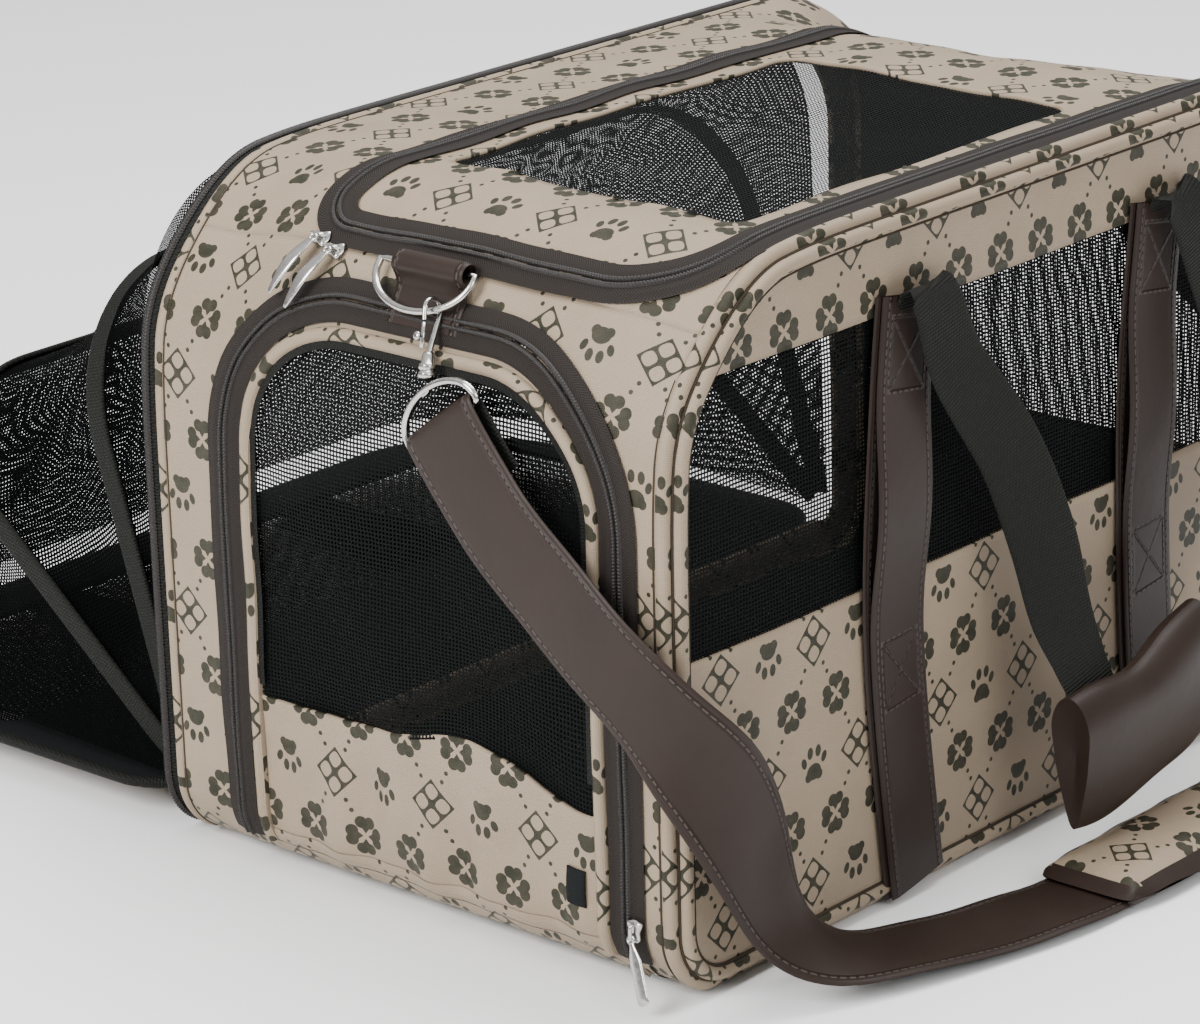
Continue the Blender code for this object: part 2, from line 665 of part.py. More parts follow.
def shoulder_strap(bar):
    """The strap hangs from the front ring across the door, turns to lie flat beside the right
    side under a pad, and climbs to the rear ring."""
    start = bar + STRAP_DOWN * 0.0030
    hang = [(tuple(start), tuple(STRAP_SIDE)),
            ((0.0600, -0.2875, 0.2330), (0.76, 0, 0.65)),
            ((0.0820, -0.2895, 0.2120), (0.70, 0, 0.71)),
            ((0.1070, -0.2900, 0.1920), (0.68, 0, 0.73)),
            ((0.1440, -0.2895, 0.1640), (0.66, 0, 0.75)),
            ((0.1700, -0.2850, 0.1420), (0.58, 0.10, 0.80)),
            ((0.1850, -0.2700, 0.1150), (0.35, 0.40, 0.84)),
            ((0.1880, -0.2480, 0.0820), (0.30, 0.66, 0.68)),
            ((0.1920, -0.2240, 0.0440), (0.60, 0.62, 0.50)),
            ((0.2000, -0.1950, 0.0160), (0.90, 0.10, 0.30)),
            ((0.2130, -0.1560, 0.0080), (0.97, -0.10, 0.12)),
            ((0.2280, -0.1150, 0.0034), (1, 0, 0)),
            ((0.2350, PAD_Y[0] - 0.0160, 0.0034), (1, 0, 0)),
            ((0.2350, PAD_Y[0] - PAD_GAP, 0.0034), (1, 0, 0))]
    drop = adopt(band(hang, CARRY_WIDE, CARRY_THICK, 44), "shoulder_strap_front", LEATHER)
    tail = rear_copy(drop, "shoulder_strap_rear", Matrix.Identity(4))
    shift = PAD_Y[1] + PAD_Y[0]
    stretch_from(tail, PAD_GAP - PAD_Y[0], shift)
    follow_ring(tail)

    outline = rounded_box_outline((PAD_X[0], PAD_Y[0]), (PAD_X[1], PAD_Y[1]), 0.012)
    pad = prism([outline], PAD_THICK, facing_z(0.0010 + PAD_THICK / 2))
    adopt(pad, "shoulder_pad", FABRIC)


def stretch_from(obj, near, shift):
    """Slides the flat end of the rear strap back so that it meets the pad's rear end."""
    points = np.empty(len(obj.data.vertices) * 3)
    obj.data.vertices.foreach_get("co", points)
    points = points.reshape(-1, 3)
    reach = 0.208
    share = np.clip((reach - points[:, 1]) / (reach - near), 0, 1)
    points[:, 1] += share * shift
    obj.data.vertices.foreach_set("co", points.ravel())


def ease(value, low, high):
    """0 below low, 1 above high, smooth between."""
    share = np.clip((value - low) / (high - low), 0, 1)
    return share * share * (3 - 2 * share)


def follow_ring(obj):
    """Lowers the rear strap with its ring: its top turns with the ring, and the rest follows less and less."""
    points = np.empty(len(obj.data.vertices) * 3)
    obj.data.vertices.foreach_get("co", points)
    points = points.reshape(-1, 3)
    high = np.maximum(points[:, 2], STRAP_BEND_Z)
    y, z = points[:, 1] - REAR_BEND.y, high - REAR_BEND.z
    turned_y = y * math.cos(REAR_TURN) + z * math.sin(REAR_TURN)
    turned_z = z * math.cos(REAR_TURN) - y * math.sin(REAR_TURN)
    in_y = ease(points[:, 2], STRAP_BEND_Z - 0.025, STRAP_BEND_Z + 0.010)
    in_z = ease(points[:, 2], 0.060, STRAP_BEND_Z)
    points[:, 1] += (turned_y - y) * in_y
    points[:, 2] += (turned_z - z) * in_z
    obj.data.vertices.foreach_set("co", points.ravel())


# ---------------------------------------------------------------- handles
def right_handle():
    """Webbing that hangs from both side straps and a padded grip between its ends."""
    x, z = HANDLE_AXIS
    front = [((x, -STRAP_Y, z - 0.0045), (0, 1, 0)), ((0.181, -0.088, 0.262), (0.1, 1, 0.1)),
             ((0.190, -0.060, 0.215), (0.3, 0.95, 0.1)), ((0.197, -0.044, 0.170), (0.4, 0.9, 0)),
             ((0.203, -0.037, 0.132), (0.3, 0.95, 0)), ((0.2115, -0.033, 0.108), (0.1, 1, 0)),
             ((0.2175, -0.030, 0.091), (0, 1, 0)), ((0.2190, -0.029, 0.076), (0, 1, 0))]
    rear = [((x, STRAP_Y, z - 0.0045), (0, -1, 0)), ((0.184, 0.116, 0.255), (0, -1, 0)),
            ((0.196, 0.124, 0.205), (0, -0.95, 0.2)), ((0.206, 0.116, 0.160), (0, -0.7, 0.5)),
            ((0.214, 0.096, 0.122), (0, -0.5, 0.8)), ((0.219, 0.064, 0.094), (0, -0.3, 1))]
    pieces = [adopt(band(front, HANDLE_WIDE, 0.0022, 26), "right_handle_front", BLACK),
              adopt(band(rear, HANDLE_WIDE, 0.0022, 22), "right_handle_rear", BLACK)]
    grip = band([((0.219, -0.050, 0.068), (0, -0.2, 1)), ((0.222, 0.0, 0.072), (0, -0.2, 1)),
                 ((0.219, 0.060, 0.090), (0, -0.3, 1))], 0.052, 0.022, 10)
    round_edges(grip, 0.006)
    pieces.append(adopt(grip, "right_grip", LEATHER))
    trim_to_grip(pieces)
    for piece in pieces:
        move_origin(piece, (x, 0, z))


def trim_to_grip(pieces):
    """Cuts the webbing back from the grip that covers its ends."""
    grip = pieces[2]
    for piece in pieces[:2]:
        room = bpy.data.objects.new("grip_room", grown(evaluated_mesh(grip), 0.0004))
        carrier.objects.link(room)
        boolean(piece, "DIFFERENCE", room)
        piece.data = evaluated_local(piece)
        piece.modifiers.clear()
    grip.data = evaluated_local(grip)
    grip.modifiers.clear()


def grown(mesh, distance):
    """A mesh whose points are moved out along their normals."""
    work = bmesh.new()
    work.from_mesh(mesh)
    work.normal_update()
    places = [(v, v.normal.copy()) for v in work.verts]
    for vertex, normal in places:
        vertex.co += normal * distance * 1.4
    work.to_mesh(mesh)
    work.free()
    return mesh


def round_edges(obj, width):
    """Rounds an object's sharp edges."""
    step = obj.modifiers.new("round", "BEVEL")
    step.width = width
    step.segments = 3
    step.limit_method = "ANGLE"
    step.angle_limit = math.radians(40)


# ---------------------------------------------------------------- fold-out room
def tilt(angle):
    """Turns a hoop lying flat in X and Y, pointing to -X, up by 90 - angle degrees about the pivot."""
    lift = math.radians(90 - angle)
    return Matrix.Translation((PIVOT_X, 0, PIVOT_Z)) @ Matrix.Rotation(lift, 4, "Y")


def hoop_outline(reach, half_length, thick, start):
    """U-shaped outline, open towards the pivot, in X and Y."""
    radius = 0.080
    outer = arc((-reach + radius, half_length - radius), radius, 90, 180, 6)
    outer += arc((-reach + radius, -half_length + radius), radius, 180, 270, 6)
    inner = arc((-reach + radius, half_length - radius), radius - thick, 90, 180, 6)
    inner += arc((-reach + radius, -half_length + radius), radius - thick, 180, 270, 6)
    return ([(-start, half_length)] + outer + [(-start, -half_length), (-start, -half_length + thick)]
            + inner[::-1] + [(-start, half_length - thick)])


def ribs():
    """Two U-shaped ribs that hold the fold-out room's net."""
    for i, angle in enumerate(RIB_TILT):
        outline = hoop_outline(RIB_REACH[i], RIB_HALF_LENGTH[i], RIB_THICK, RIB_START)
        rib = adopt(prism([outline], RIB_BAND, tilt(angle)), f"rib_{i + 1}", BLACK)
        move_origin(rib, (PIVOT_X, 0, PIVOT_Z))


def fold_nets():
    """Net between the opening, the ribs and the outer panel: a hoop section swept about the pivot.

    The nets run just inside the ribs, so that every fold leaves them clear of each other."""
    edge = 0.35
    bounds = (3.5 - edge, *RIB_TILT, 88.3 + edge)
    outline = hoop_outline(NET_REACH, NET_HALF_LENGTH, NET_SKIN, NET_START)
    for i, (low, high) in enumerate(zip(bounds[:-1], bounds[1:])):
        span = high - low - 2 * edge
        work = bmesh.new()
        corners = [work.verts.new((x, y, 0)) for x, y in outline]
        face = work.faces.new(corners)
        bmesh.ops.transform(work, matrix=Matrix.Rotation(math.radians(90 - low - edge), 4, "Y"),
                            verts=work.verts)
        bmesh.ops.spin(work, geom=[face], axis=(0, 1, 0), cent=(0, 0, 0), steps=max(2, round(span / 9)),
                       angle=-math.radians(span), use_duplicate=False)
        bmesh.ops.translate(work, vec=(PIVOT_X, 0, PIVOT_Z), verts=work.verts)
        bmesh.ops.recalc_face_normals(work, faces=work.faces)
        mesh = bpy.data.meshes.new("net")
        work.to_mesh(mesh)
        work.free()
        net = bpy.data.objects.new("net", mesh)
        carrier.objects.link(net)
        adopt(net, f"fold_net_{i + 1}", NETTING)
        move_origin(net, (PIVOT_X, 0, PIVOT_Z))


def panel_outline(inset):
    """The outer panel's outline in X and Y, its free corners rounded like the carrier's top."""
    half, reach, start = PANEL_HALF_LENGTH - inset, PANEL_REACH - inset, PANEL_START + inset
    r_far, r_near = TOP_RADIUS - inset, BOTTOM_RADIUS - inset
    return (arc((-reach + r_far, half - r_far), r_far, 90, 180, 7)
            + arc((-reach + r_far, -half + r_far), r_far, 180, 270, 7)
            + arc((-start - r_near, -half + r_near), r_near, 270, 360, 5)
            + arc((-start - r_near, half - r_near), r_near, 0, 90, 5))


def outer_panel():
    """The left side wall, folded out as the room's floor, with its window, straps and handle."""
    base = Matrix.Translation((PIVOT_X, 0, PIVOT_Z - PANEL_DROP - WALL / 2))
    net_x = (-SIDE_NET_Z[1] + PIVOT_Z, -SIDE_NET_Z[0] + PIVOT_Z)
    window = rounded_box_outline((net_x[0], -0.250), (net_x[1], 0.250), 0.010)
    panel = adopt(prism([panel_outline(0), window], WALL, base), "left_side_panel", FABRIC)
    edge = 0.0005
    outline = rounded_box_outline((net_x[0] + edge, -0.250 + edge), (net_x[1] - edge, 0.250 - edge), 0.0095)
    net = adopt(prism([outline], NET, base), "left_side_mesh", NETTING)

    under = PIVOT_Z - PANEL_DROP - WALL - GAP
    pieces = [panel, net]
    for name, y in (("left_strap_front", -STRAP_Y), ("left_strap_rear", STRAP_Y)):
        low = (PIVOT_X - STRAP_TOP + PIVOT_Z, y - STRAP_WIDE / 2)
        high = (PIVOT_X - 0.010, y + STRAP_WIDE / 2)
        strap = prism([rounded_box_outline(low, high, 0.003, 2)], 0.002, facing_z(under - 0.001))
        pieces.append(adopt(strap, name, LEATHER))
    for piece in pieces:
        move_origin(piece, (PIVOT_X, 0, PIVOT_Z))


def left_handle():
    """The second handle, folded flat under the outer panel."""
    x = PIVOT_X - STRAP_TOP + PIVOT_Z - 0.0035
    z = 0.0060
    pieces = []
    for name, sign in (("left_handle_front", -1), ("left_handle_rear", 1)):
        route = [((x + 0.0035, sign * STRAP_Y, z), (0, 1, 0)), ((x + 0.090, sign * 0.085, z), (0.1 * sign, 1, 0)),
                 ((x + 0.170, sign * 0.060, z), (0.3 * sign, 1, 0)), ((x + 0.2046, sign * 0.040, z), (0.4 * sign, 1, 0))]
        pieces.append(adopt(band(route, HANDLE_WIDE, 0.0022, 12), name, BLACK))
    outline = rounded_box_outline((x + 0.205, -0.062), (x + 0.257, 0.062), 0.010)
    pieces.append(adopt(prism([outline], 0.010, facing_z(z)), "left_grip", LEATHER))
    room = (x + 0.2046, -0.2, 0.0), (x + 0.3, 0.2, 0.1)
    for piece in pieces[:2]:
        boolean(piece, "DIFFERENCE", block(*room))
        piece.data = evaluated_local(piece)
        piece.modifiers.clear()
    for piece in pieces:
        move_origin(piece, (x, 0, z))


wrap_panels()
rear_window()
right_side()
left_rim()
piping()
side_straps()
floor()
front_door()
zips()
top_flap()
sliders()
shoulder_strap(ring_hardware())
right_handle()
ribs()
fold_nets()
outer_panel()
left_handle()
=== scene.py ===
"""Soft-sided pet carrier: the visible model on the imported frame. Metres, Z up, front door towards -Y."""
import math

import bpy
import numpy as np
from mathutils import Matrix, Vector


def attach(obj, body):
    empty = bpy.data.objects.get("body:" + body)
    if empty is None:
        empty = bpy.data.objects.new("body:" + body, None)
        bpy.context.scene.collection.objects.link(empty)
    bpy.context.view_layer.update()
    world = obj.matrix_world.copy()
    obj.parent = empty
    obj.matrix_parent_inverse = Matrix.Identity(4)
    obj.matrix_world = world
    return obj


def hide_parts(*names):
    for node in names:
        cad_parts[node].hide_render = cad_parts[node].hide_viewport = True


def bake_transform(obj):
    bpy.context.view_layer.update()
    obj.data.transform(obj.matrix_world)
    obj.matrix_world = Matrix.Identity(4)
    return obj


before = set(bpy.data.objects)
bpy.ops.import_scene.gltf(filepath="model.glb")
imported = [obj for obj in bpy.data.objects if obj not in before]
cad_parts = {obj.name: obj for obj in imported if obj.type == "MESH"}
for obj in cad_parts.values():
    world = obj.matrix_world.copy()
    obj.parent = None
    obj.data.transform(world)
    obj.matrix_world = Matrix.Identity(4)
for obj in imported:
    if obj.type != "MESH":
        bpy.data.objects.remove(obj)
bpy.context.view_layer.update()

# ---------------------------------------------------------------- sizes shared with the frame
LENGTH, HEIGHT = 0.547, 0.340
TOP_R, LOW_R = 0.085, 0.035
WRAP_X = 0.1560
SIDE_X = 0.1622
DOOR_X, DOOR_HALF, DOOR_TOP, DOOR_LOW, DOOR_R = 0.011, 0.1235, 0.297, 0.016, 0.080
FLAP_X, FLAP_Y, FLAP_R = (-0.073, 0.146), (-0.240, 0.180), (0.018, 0.048)
SIDE_NET = (0.1630, 0.2915)
PIVOT = (-0.172, 0.0, 0.026)
STRAP_Y, STRAP_TOP = 0.100, 0.300
CELL = 0.004


# ---------------------------------------------------------------- mesh helpers
def smoothstep(x, low, high):
    """0 below low, 1 above high, smooth between."""
    t = np.clip((np.asarray(x, float) - low) / (high - low), 0, 1)
    return t * t * (3 - 2 * t)


def quads(rows, cols):
    """Corner numbers of every quad of a grid of points."""
    r, c = np.meshgrid(np.arange(rows - 1), np.arange(cols - 1), indexing="ij")
    a = (r * cols + c).reshape(-1, 1)
    return np.hstack([a, a + cols, a + cols + 1, a + 1])


def mesh_object(name, points, faces, uv, looks, which=None):
    """Smooth mesh object with its UV in metres and one material slot per look."""
    mesh = bpy.data.meshes.new(name)
    mesh.from_pydata(points.tolist(), [], faces.tolist())
    layer = mesh.uv_layers.new(name="UVMap")
    layer.data.foreach_set("uv", uv[faces.ravel()].astype(np.float32).ravel())
    mesh.polygons.foreach_set("use_smooth", np.ones(len(faces), bool))
    for look in looks:
        mesh.materials.append(look)
    if which is not None:
        mesh.polygons.foreach_set("material_index", which.astype(np.int32))
    mesh.update()
    made = bpy.data.objects.new(name, mesh)
    bpy.context.scene.collection.objects.link(made)
    return made


def from_grids(name, parts, looks):
    """One object from parts, each a grid of points, a grid of UV and a look number."""
    points, faces, uv, which, base = [], [], [], [], 0
    for grid, place, look in parts:
        rows, cols = grid.shape[:2]
        corners = quads(rows, cols) + base
        points.append(grid.reshape(-1, 3))
        uv.append(place.reshape(-1, 2))
        faces.append(corners)
        which.append(np.full(len(corners), look))
        base += rows * cols
    return mesh_object(name, np.vstack(points), np.vstack(faces), np.vstack(uv), looks, np.concatenate(which))


def cut_sheet(name, us, vs, depth, place, looks, thick=0.0, uv_of=None):
    """Sheet over a grid of u and v, kept where depth(u, v) is below 0. Points near the rim move onto it
    along the slope of depth, so the rim is smooth."""
    u, v = np.meshgrid(us, vs, indexing="ij")
    step, tiny = us[1] - us[0], 1e-5
    for _ in range(2):
        d = depth(u, v)
        slope_u = (depth(u + tiny, v) - depth(u - tiny, v)) / (2 * tiny)
        slope_v = (depth(u, v + tiny) - depth(u, v - tiny)) / (2 * tiny)
        steep = slope_u ** 2 + slope_v ** 2 + 1e-9
        near = np.abs(d) < 0.72 * step * np.sqrt(steep)
        u = np.where(near, u - d * slope_u / steep, u)
        v = np.where(near, v - d * slope_v / steep, v)
    inside = (depth(u, v) < 0.12 * step).ravel()
    faces = quads(len(us), len(vs))
    faces = faces[inside[faces].all(axis=1)]
    used = np.unique(faces)
    index = np.zeros(u.size, int)
    index[used] = np.arange(len(used))
    points = place(u.ravel()[used], v.ravel()[used])
    uv = np.stack([u.ravel()[used], v.ravel()[used]], -1)
    if uv_of is not None:
        uv = uv_of(uv)
    made = mesh_object(name, points, index[faces], uv, looks)
    if thick:
        skin = made.modifiers.new("thickness", "SOLIDIFY")
        skin.thickness = thick
        skin.offset = -1
        skin.material_offset = 1 if len(looks) > 1 else 0
    return made


def smooth_path(points, count):
    """Evenly spaced points on a Catmull-Rom curve through the given points."""
    nodes = np.array(points, float)
    ends = np.vstack([2 * nodes[0] - nodes[1], nodes, 2 * nodes[-1] - nodes[-2]])
    t = np.linspace(0, 1, 16, endpoint=False)[:, None]
    fine = [0.5 * (2 * b + (c - a) * t + (2 * a - 5 * b + 4 * c - d) * t * t + (3 * b - a - 3 * c + d)
                   * t ** 3)
            for a, b, c, d in zip(ends[:-3], ends[1:-2], ends[2:-1], ends[3:])]
    return even(np.vstack(fine + [nodes[-1:]]), count)


def relaxed(rows, start, times):
    """The same rows with their bends evened out from start metres on."""
    rows = rows.copy()
    share = smoothstep(run_length(rows), start, start + 0.03)[1:-1, None]
    for _ in range(times):
        rows[1:-1] += share * (0.25 * rows[:-2] - 0.5 * rows[1:-1] + 0.25 * rows[2:])
    return rows


def even(points, count):
    """The same line with evenly spaced points."""
    run = run_length(points)
    stops = np.linspace(0, run[-1], count)
    return np.stack([np.interp(stops, run, points[:, k]) for k in range(points.shape[1])], axis=1)


def run_length(points):
    """Distance run along a line at each of its points."""
    steps = np.linalg.norm(np.diff(points[:, :3], axis=0), axis=1)
    return np.concatenate([[0], np.cumsum(steps)])


def unit(vectors):
    """Vectors of length 1."""
    return vectors / (np.linalg.norm(vectors, axis=-1, keepdims=True) + 1e-12)


def frames(path, across):
    """Across and normal directions at right angles to a path."""
    along = unit(np.gradient(path, axis=0))
    across = unit(across - along * np.sum(across * along, axis=1, keepdims=True))
    return across, np.cross(across, along)


def sweep(path, across, profile, scale=None):
    """A profile of (across, normal) offsets carried along a path, with UV (round, along)."""
    side, normal = frames(path, across)
    size = np.ones(len(path)) if scale is None else scale
    grid = (path[:, None] + side[:, None] * profile[None, :, :1] * size[:, None, None]
            + normal[:, None] * profile[None, :, 1:] * size[:, None, None])
    round_run = np.concatenate([[0], np.cumsum(np.linalg.norm(np.diff(profile, axis=0), axis=1))])
    uv = np.stack(np.broadcast_arrays(round_run[None, :], run_length(path)[:, None]), -1)
    return grid, uv


def band_faces(path, across, wide, thick, count, crown=0.0, along=None):
    """Both faces of a flat band as parts of a piece, with UV (across, along) in metres."""
    run = run_length(path) if along is None else along
    parts = []
    for face in (1, -1):
        grid, _ = sweep(path, across, face_profile(wide, thick, face, count, crown))
        parts.append((grid, np.stack(np.broadcast_arrays(spread(wide, count)[None, :], run[:, None]), -1), 0))
    return parts


def ring_profile(radius, sides):
    """Closed round profile."""
    turn = np.linspace(0, 2 * np.pi, sides + 1)
    return np.stack([np.cos(turn) * radius, np.sin(turn) * radius], -1)


def face_profile(wide, thick, side, count, crown):
    """One face of a strap, with rounded edges: side 1 is the outer face and -1 the back."""
    u = np.sin(np.linspace(-1, 1, count) * np.pi / 2)
    height = thick / 2 * np.sqrt(np.clip(1 - np.abs(u) ** 12, 0, 1)) + crown * (1 - u * u)
    return np.stack([u * wide / 2, side * height], -1)


def spread(wide, count):
    """Distances across a strap at the points of its face_profile."""
    return (1 + np.sin(np.linspace(-1, 1, count) * np.pi / 2)) * wide / 2


def tube(name, path, radius, look, sides, closed=False):
    """Round cord or wire along a path."""
    path = np.asarray(path, float)
    if closed:
        path = np.vstack([path, path[:1]])
    along = unit(np.gradient(path, axis=0))
    helper = np.broadcast_to(np.array([0.31, 0.52, 0.79]), along.shape)
    helper = np.where(np.abs(np.sum(along * helper, axis=1, keepdims=True)) > 0.93, [0.9, -0.4, 0.1], helper)
    grid, uv = sweep(path, np.cross(along, helper), ring_profile(radius, sides))
    if closed:
        grid[-1] = grid[0]
    return from_grids(name, [(grid, uv, 0)], [look])


def add(obj, body, slot, *nodes):
    """Puts a piece on its body and hides the CAD nodes that it stands for; its slot is not used."""
    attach(obj, body)
    if nodes:
        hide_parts(*nodes)
    return obj


# ---------------------------------------------------------------- surfaces of the carrier
UP = HEIGHT - TOP_R - LOW_R
TURN = TOP_R * math.pi / 2
KNOT_S = np.cumsum([0, UP, TURN, LENGTH - 2 * TOP_R, TURN, UP, LOW_R * math.pi / 2, LENGTH - 2 * LOW_R,
                    LOW_R * math.pi / 2])
KNOT_TURN = np.radians([180, 180, 90, 90, 0, 0, -90, -90, -180])
KNOT_Y = np.array([LOW_R, TOP_R, TOP_R, LENGTH - TOP_R, LENGTH - TOP_R, LENGTH - LOW_R, LENGTH - LOW_R,
                   LOW_R, LOW_R]) - LENGTH / 2
KNOT_Z = np.array([LOW_R] + [HEIGHT - TOP_R] * 4 + [LOW_R] * 4)
KNOT_R = np.array([LOW_R] + [TOP_R] * 4 + [LOW_R] * 4)
ROUND = KNOT_S[-1]


def loaf(s):
    """Y, Z and outward normal on the loaf outline, s metres up from the foot of the front wall."""
    s = np.mod(s, ROUND)
    turn = np.interp(s, KNOT_S, KNOT_TURN)
    radius = np.interp(s, KNOT_S, KNOT_R)
    ny, nz = np.cos(turn), np.sin(turn)
    return np.interp(s, KNOT_S, KNOT_Y) + radius * ny, np.interp(s, KNOT_S, KNOT_Z) + radius * nz, ny, nz


def swell(x, s, y, z):
    """How far the padded wrap stands proud: a crown across the top, a softer one on the end walls,
    gathers in the fabric low on the front, and slight unevenness everywhere."""
    across = 1 - (x / WRAP_X) ** 2
    crown = 0.0040 * across * smoothstep(z, 0.28, 0.335) * np.clip(1 - (y / 0.30) ** 4, 0, 1)
    ends = 0.0022 * across * np.sin(np.pi * np.clip(z, 0, 0.3) / 0.3)
    low = smoothstep(0.115 - z, 0, 0.06) * smoothstep(-y, 0.25, 0.27) * across
    folds = 0.0017 * np.sin(x * 118 + 0.7 + 14 * z) + 0.0011 * np.sin(x * 205 - 35 * z)
    ripple = (0.0006 * np.sin(x * 61 + s * 23) + 0.0006 * np.sin(s * 71 - x * 37)
              + 0.0003 * np.sin(x * 133 + s * 92 + 1))
    above = smoothstep(z, 0.005, 0.03)
    return (crown + ends + low * folds + ripple * across) * above - slump(x, s, y, z)


def shoulder(s):
    """How far the front top bend is softer than its pattern, s metres up the wrap."""
    return 0.010 * np.exp(-((np.asarray(s) - UP - TURN / 2) / 0.055) ** 2)


def slump(x, s, y, z):
    """How far the wrap falls in: a softer front bend beside the door, and a rear top that sags between
    the sides."""
    front = shoulder(s) * smoothstep(np.abs(x - 0.012), 0.085, 0.150)
    between = smoothstep(x, -0.156, -0.09) * smoothstep(0.156 - x, 0,
                                                        0.03) * (1 - 0.6 * smoothstep(x, -0.06, 0.14))
    return front + 0.028 * between * smoothstep(y, 0.13, 0.225) * smoothstep(z, 0.20, 0.32)


def on_wrap(x, s, off=0.0):
    """Point on the wrap, off metres outside its skin."""
    y, z, ny, nz = loaf(s)
    lift = off + swell(x, s, y, z)
    return np.stack(np.broadcast_arrays(x, y + ny * lift, z + nz * lift), -1)


def front_s(z):
    """Run along the wrap at a height on the front."""
    z = np.asarray(z, float)
    bend = UP + TOP_R * np.arcsin(np.clip((z - LOW_R - UP) / TOP_R, 0, 1))
    foot = -LOW_R * np.arcsin(np.clip((LOW_R - z) / LOW_R, 0, 1))
    return np.where(z > LOW_R + UP, bend, np.where(z < LOW_R, foot, z - LOW_R))


def top_s(y):
    """Run along the wrap at a distance from the middle on the top."""
    y = np.asarray(y, float)
    edge = TOP_R - LENGTH / 2
    bend = UP + TOP_R * np.arccos(np.clip((edge - y) / TOP_R, 0, 1))
    return np.where(y < edge, bend, UP + TURN + (y - edge))


def puff(y, z):
    """How far the long sides swell out between their seams."""
    return (0.0040 * np.clip(1 - (2 * y / LENGTH) ** 2, 0, 1) * np.sin(np.pi * np.clip(z / HEIGHT, 0, 1))
            + 0.0006 * np.sin(y * 47 + z * 31) * np.sin(np.pi * np.clip(z / HEIGHT, 0, 1)))


def on_side(y, z, off=0.0):
    """Point on a long side, off metres outside its skin."""
    return np.stack(np.broadcast_arrays(SIDE_X + off + puff(y, z), y, z), -1)


def round_box(p, q, half_p, half_q, radius):
    """Distance to a rounded rectangle about the origin, below 0 inside."""
    a, b = np.abs(p) - half_p + radius, np.abs(q) - half_q + radius
    return np.hypot(np.maximum(a, 0), np.maximum(b, 0)) + np.minimum(np.maximum(a, b), 0) - radius


def arch_depth(x, z, grow=0.0, foot=DOOR_LOW):
    """Distance to the door's outline in X and Z: square at the foot, round at the top."""
    p, half = x - DOOR_X, DOOR_HALF + grow
    radius = DOOR_R + grow
    a, b = np.abs(p) - half + radius, z - DOOR_TOP - grow + radius
    upper = np.hypot(np.maximum(a, 0), np.maximum(b, 0)) + np.minimum(np.maximum(a, b), 0) - radius
    return np.maximum(upper, foot - grow - z)


def flap_depth(x, y, grow=0.0):
    """Distance to the flap's outline in X and Y: its front corners are round."""
    mid, half = (FLAP_X[0] + FLAP_X[1]) / 2, (FLAP_X[1] - FLAP_X[0]) / 2 + grow
    radius = np.where(x < mid, FLAP_R[0], FLAP_R[1]) + grow
    a, b = np.abs(x - mid) - half + radius, FLAP_Y[0] - grow - y + radius
    front = np.hypot(np.maximum(a, 0), np.maximum(b, 0)) + np.minimum(np.maximum(a, b), 0) - radius
    return np.maximum(front, y - FLAP_Y[1])


def loaf_depth(y, z, grow=0.0):
    """Distance to the loaf outline in Y and Z, with its softer front top bend."""
    radius = np.where(z > HEIGHT / 2, np.where(y < 0, TOP_R + 0.025, TOP_R), LOW_R) + grow
    return round_box(y, z - HEIGHT / 2, LENGTH / 2 + grow, HEIGHT / 2 + grow, radius)


# ---------------------------------------------------------------- node helpers
class Wire:
    """A value in a node tree. Arithmetic on it adds Math nodes."""

    def __init__(self, tree, socket):
        self.tree, self.socket = tree, socket

    def math(self, kind, *others, clamp=False):
        """A Math node of this value and others."""
        node = self.tree.nodes.new("ShaderNodeMath")
        node.operation, node.use_clamp = kind, clamp
        for slot, value in zip(node.inputs, (self, *others)):
            if isinstance(value, Wire):
                self.tree.links.new(value.socket, slot)
            else:
                slot.default_value = value
        return Wire(self.tree, node.outputs[0])

    def __add__(self, other):
        return self.math("ADD", other)

    def __sub__(self, other):
        return self.math("SUBTRACT", other)

    def __mul__(self, other):
        return self.math("MULTIPLY", other)

    def __abs__(self):
        return self.math("ABSOLUTE")

    def near(self, period):
        """Distance to the nearest multiple of period, with its sign."""
        return self.math("WRAP", period / 2, -period / 2)

    def below(self, soft):
        """1 where the value is under 0, and 0 above, over a width of soft."""
        return self.math("MULTIPLY_ADD", -1 / soft, 0.5, clamp=True)

    def either(self, other):
        """The smaller of two distances: inside one or the other."""
        return self.math("MINIMUM", other)

    def both(self, other):
        """The larger of two distances: inside both."""
        return self.math("MAXIMUM", other)

    def wave(self, period):
        """Sine of the value with that period."""
        return (self * (2 * math.pi / period)).math("SINE")


def length(a, b):
    """Length of a vector of two values."""
    return (a * a + b * b).math("SQRT")


def new_group(name, inputs, outputs):
    """Node group with named sockets; returns its tree, its input node and a function that sets an output."""
    tree = bpy.data.node_groups.new(name, "ShaderNodeTree")
    for label, kind in inputs:
        tree.interface.new_socket(label, in_out="INPUT", socket_type=kind)
    for label in outputs:
        tree.interface.new_socket(label, in_out="OUTPUT", socket_type="NodeSocketFloat")
    start, end = tree.nodes.new("NodeGroupInput"), tree.nodes.new("NodeGroupOutput")
    return tree, start, lambda label, wire: tree.links.new(wire.socket, end.inputs[label])


def split(tree, socket, scale):
    """The first two parts of a vector as values, scaled."""
    node = tree.nodes.new("ShaderNodeSeparateXYZ")
    tree.links.new(socket, node.inputs[0])
    return Wire(tree, node.outputs[0]) * scale, Wire(tree, node.outputs[1]) * scale


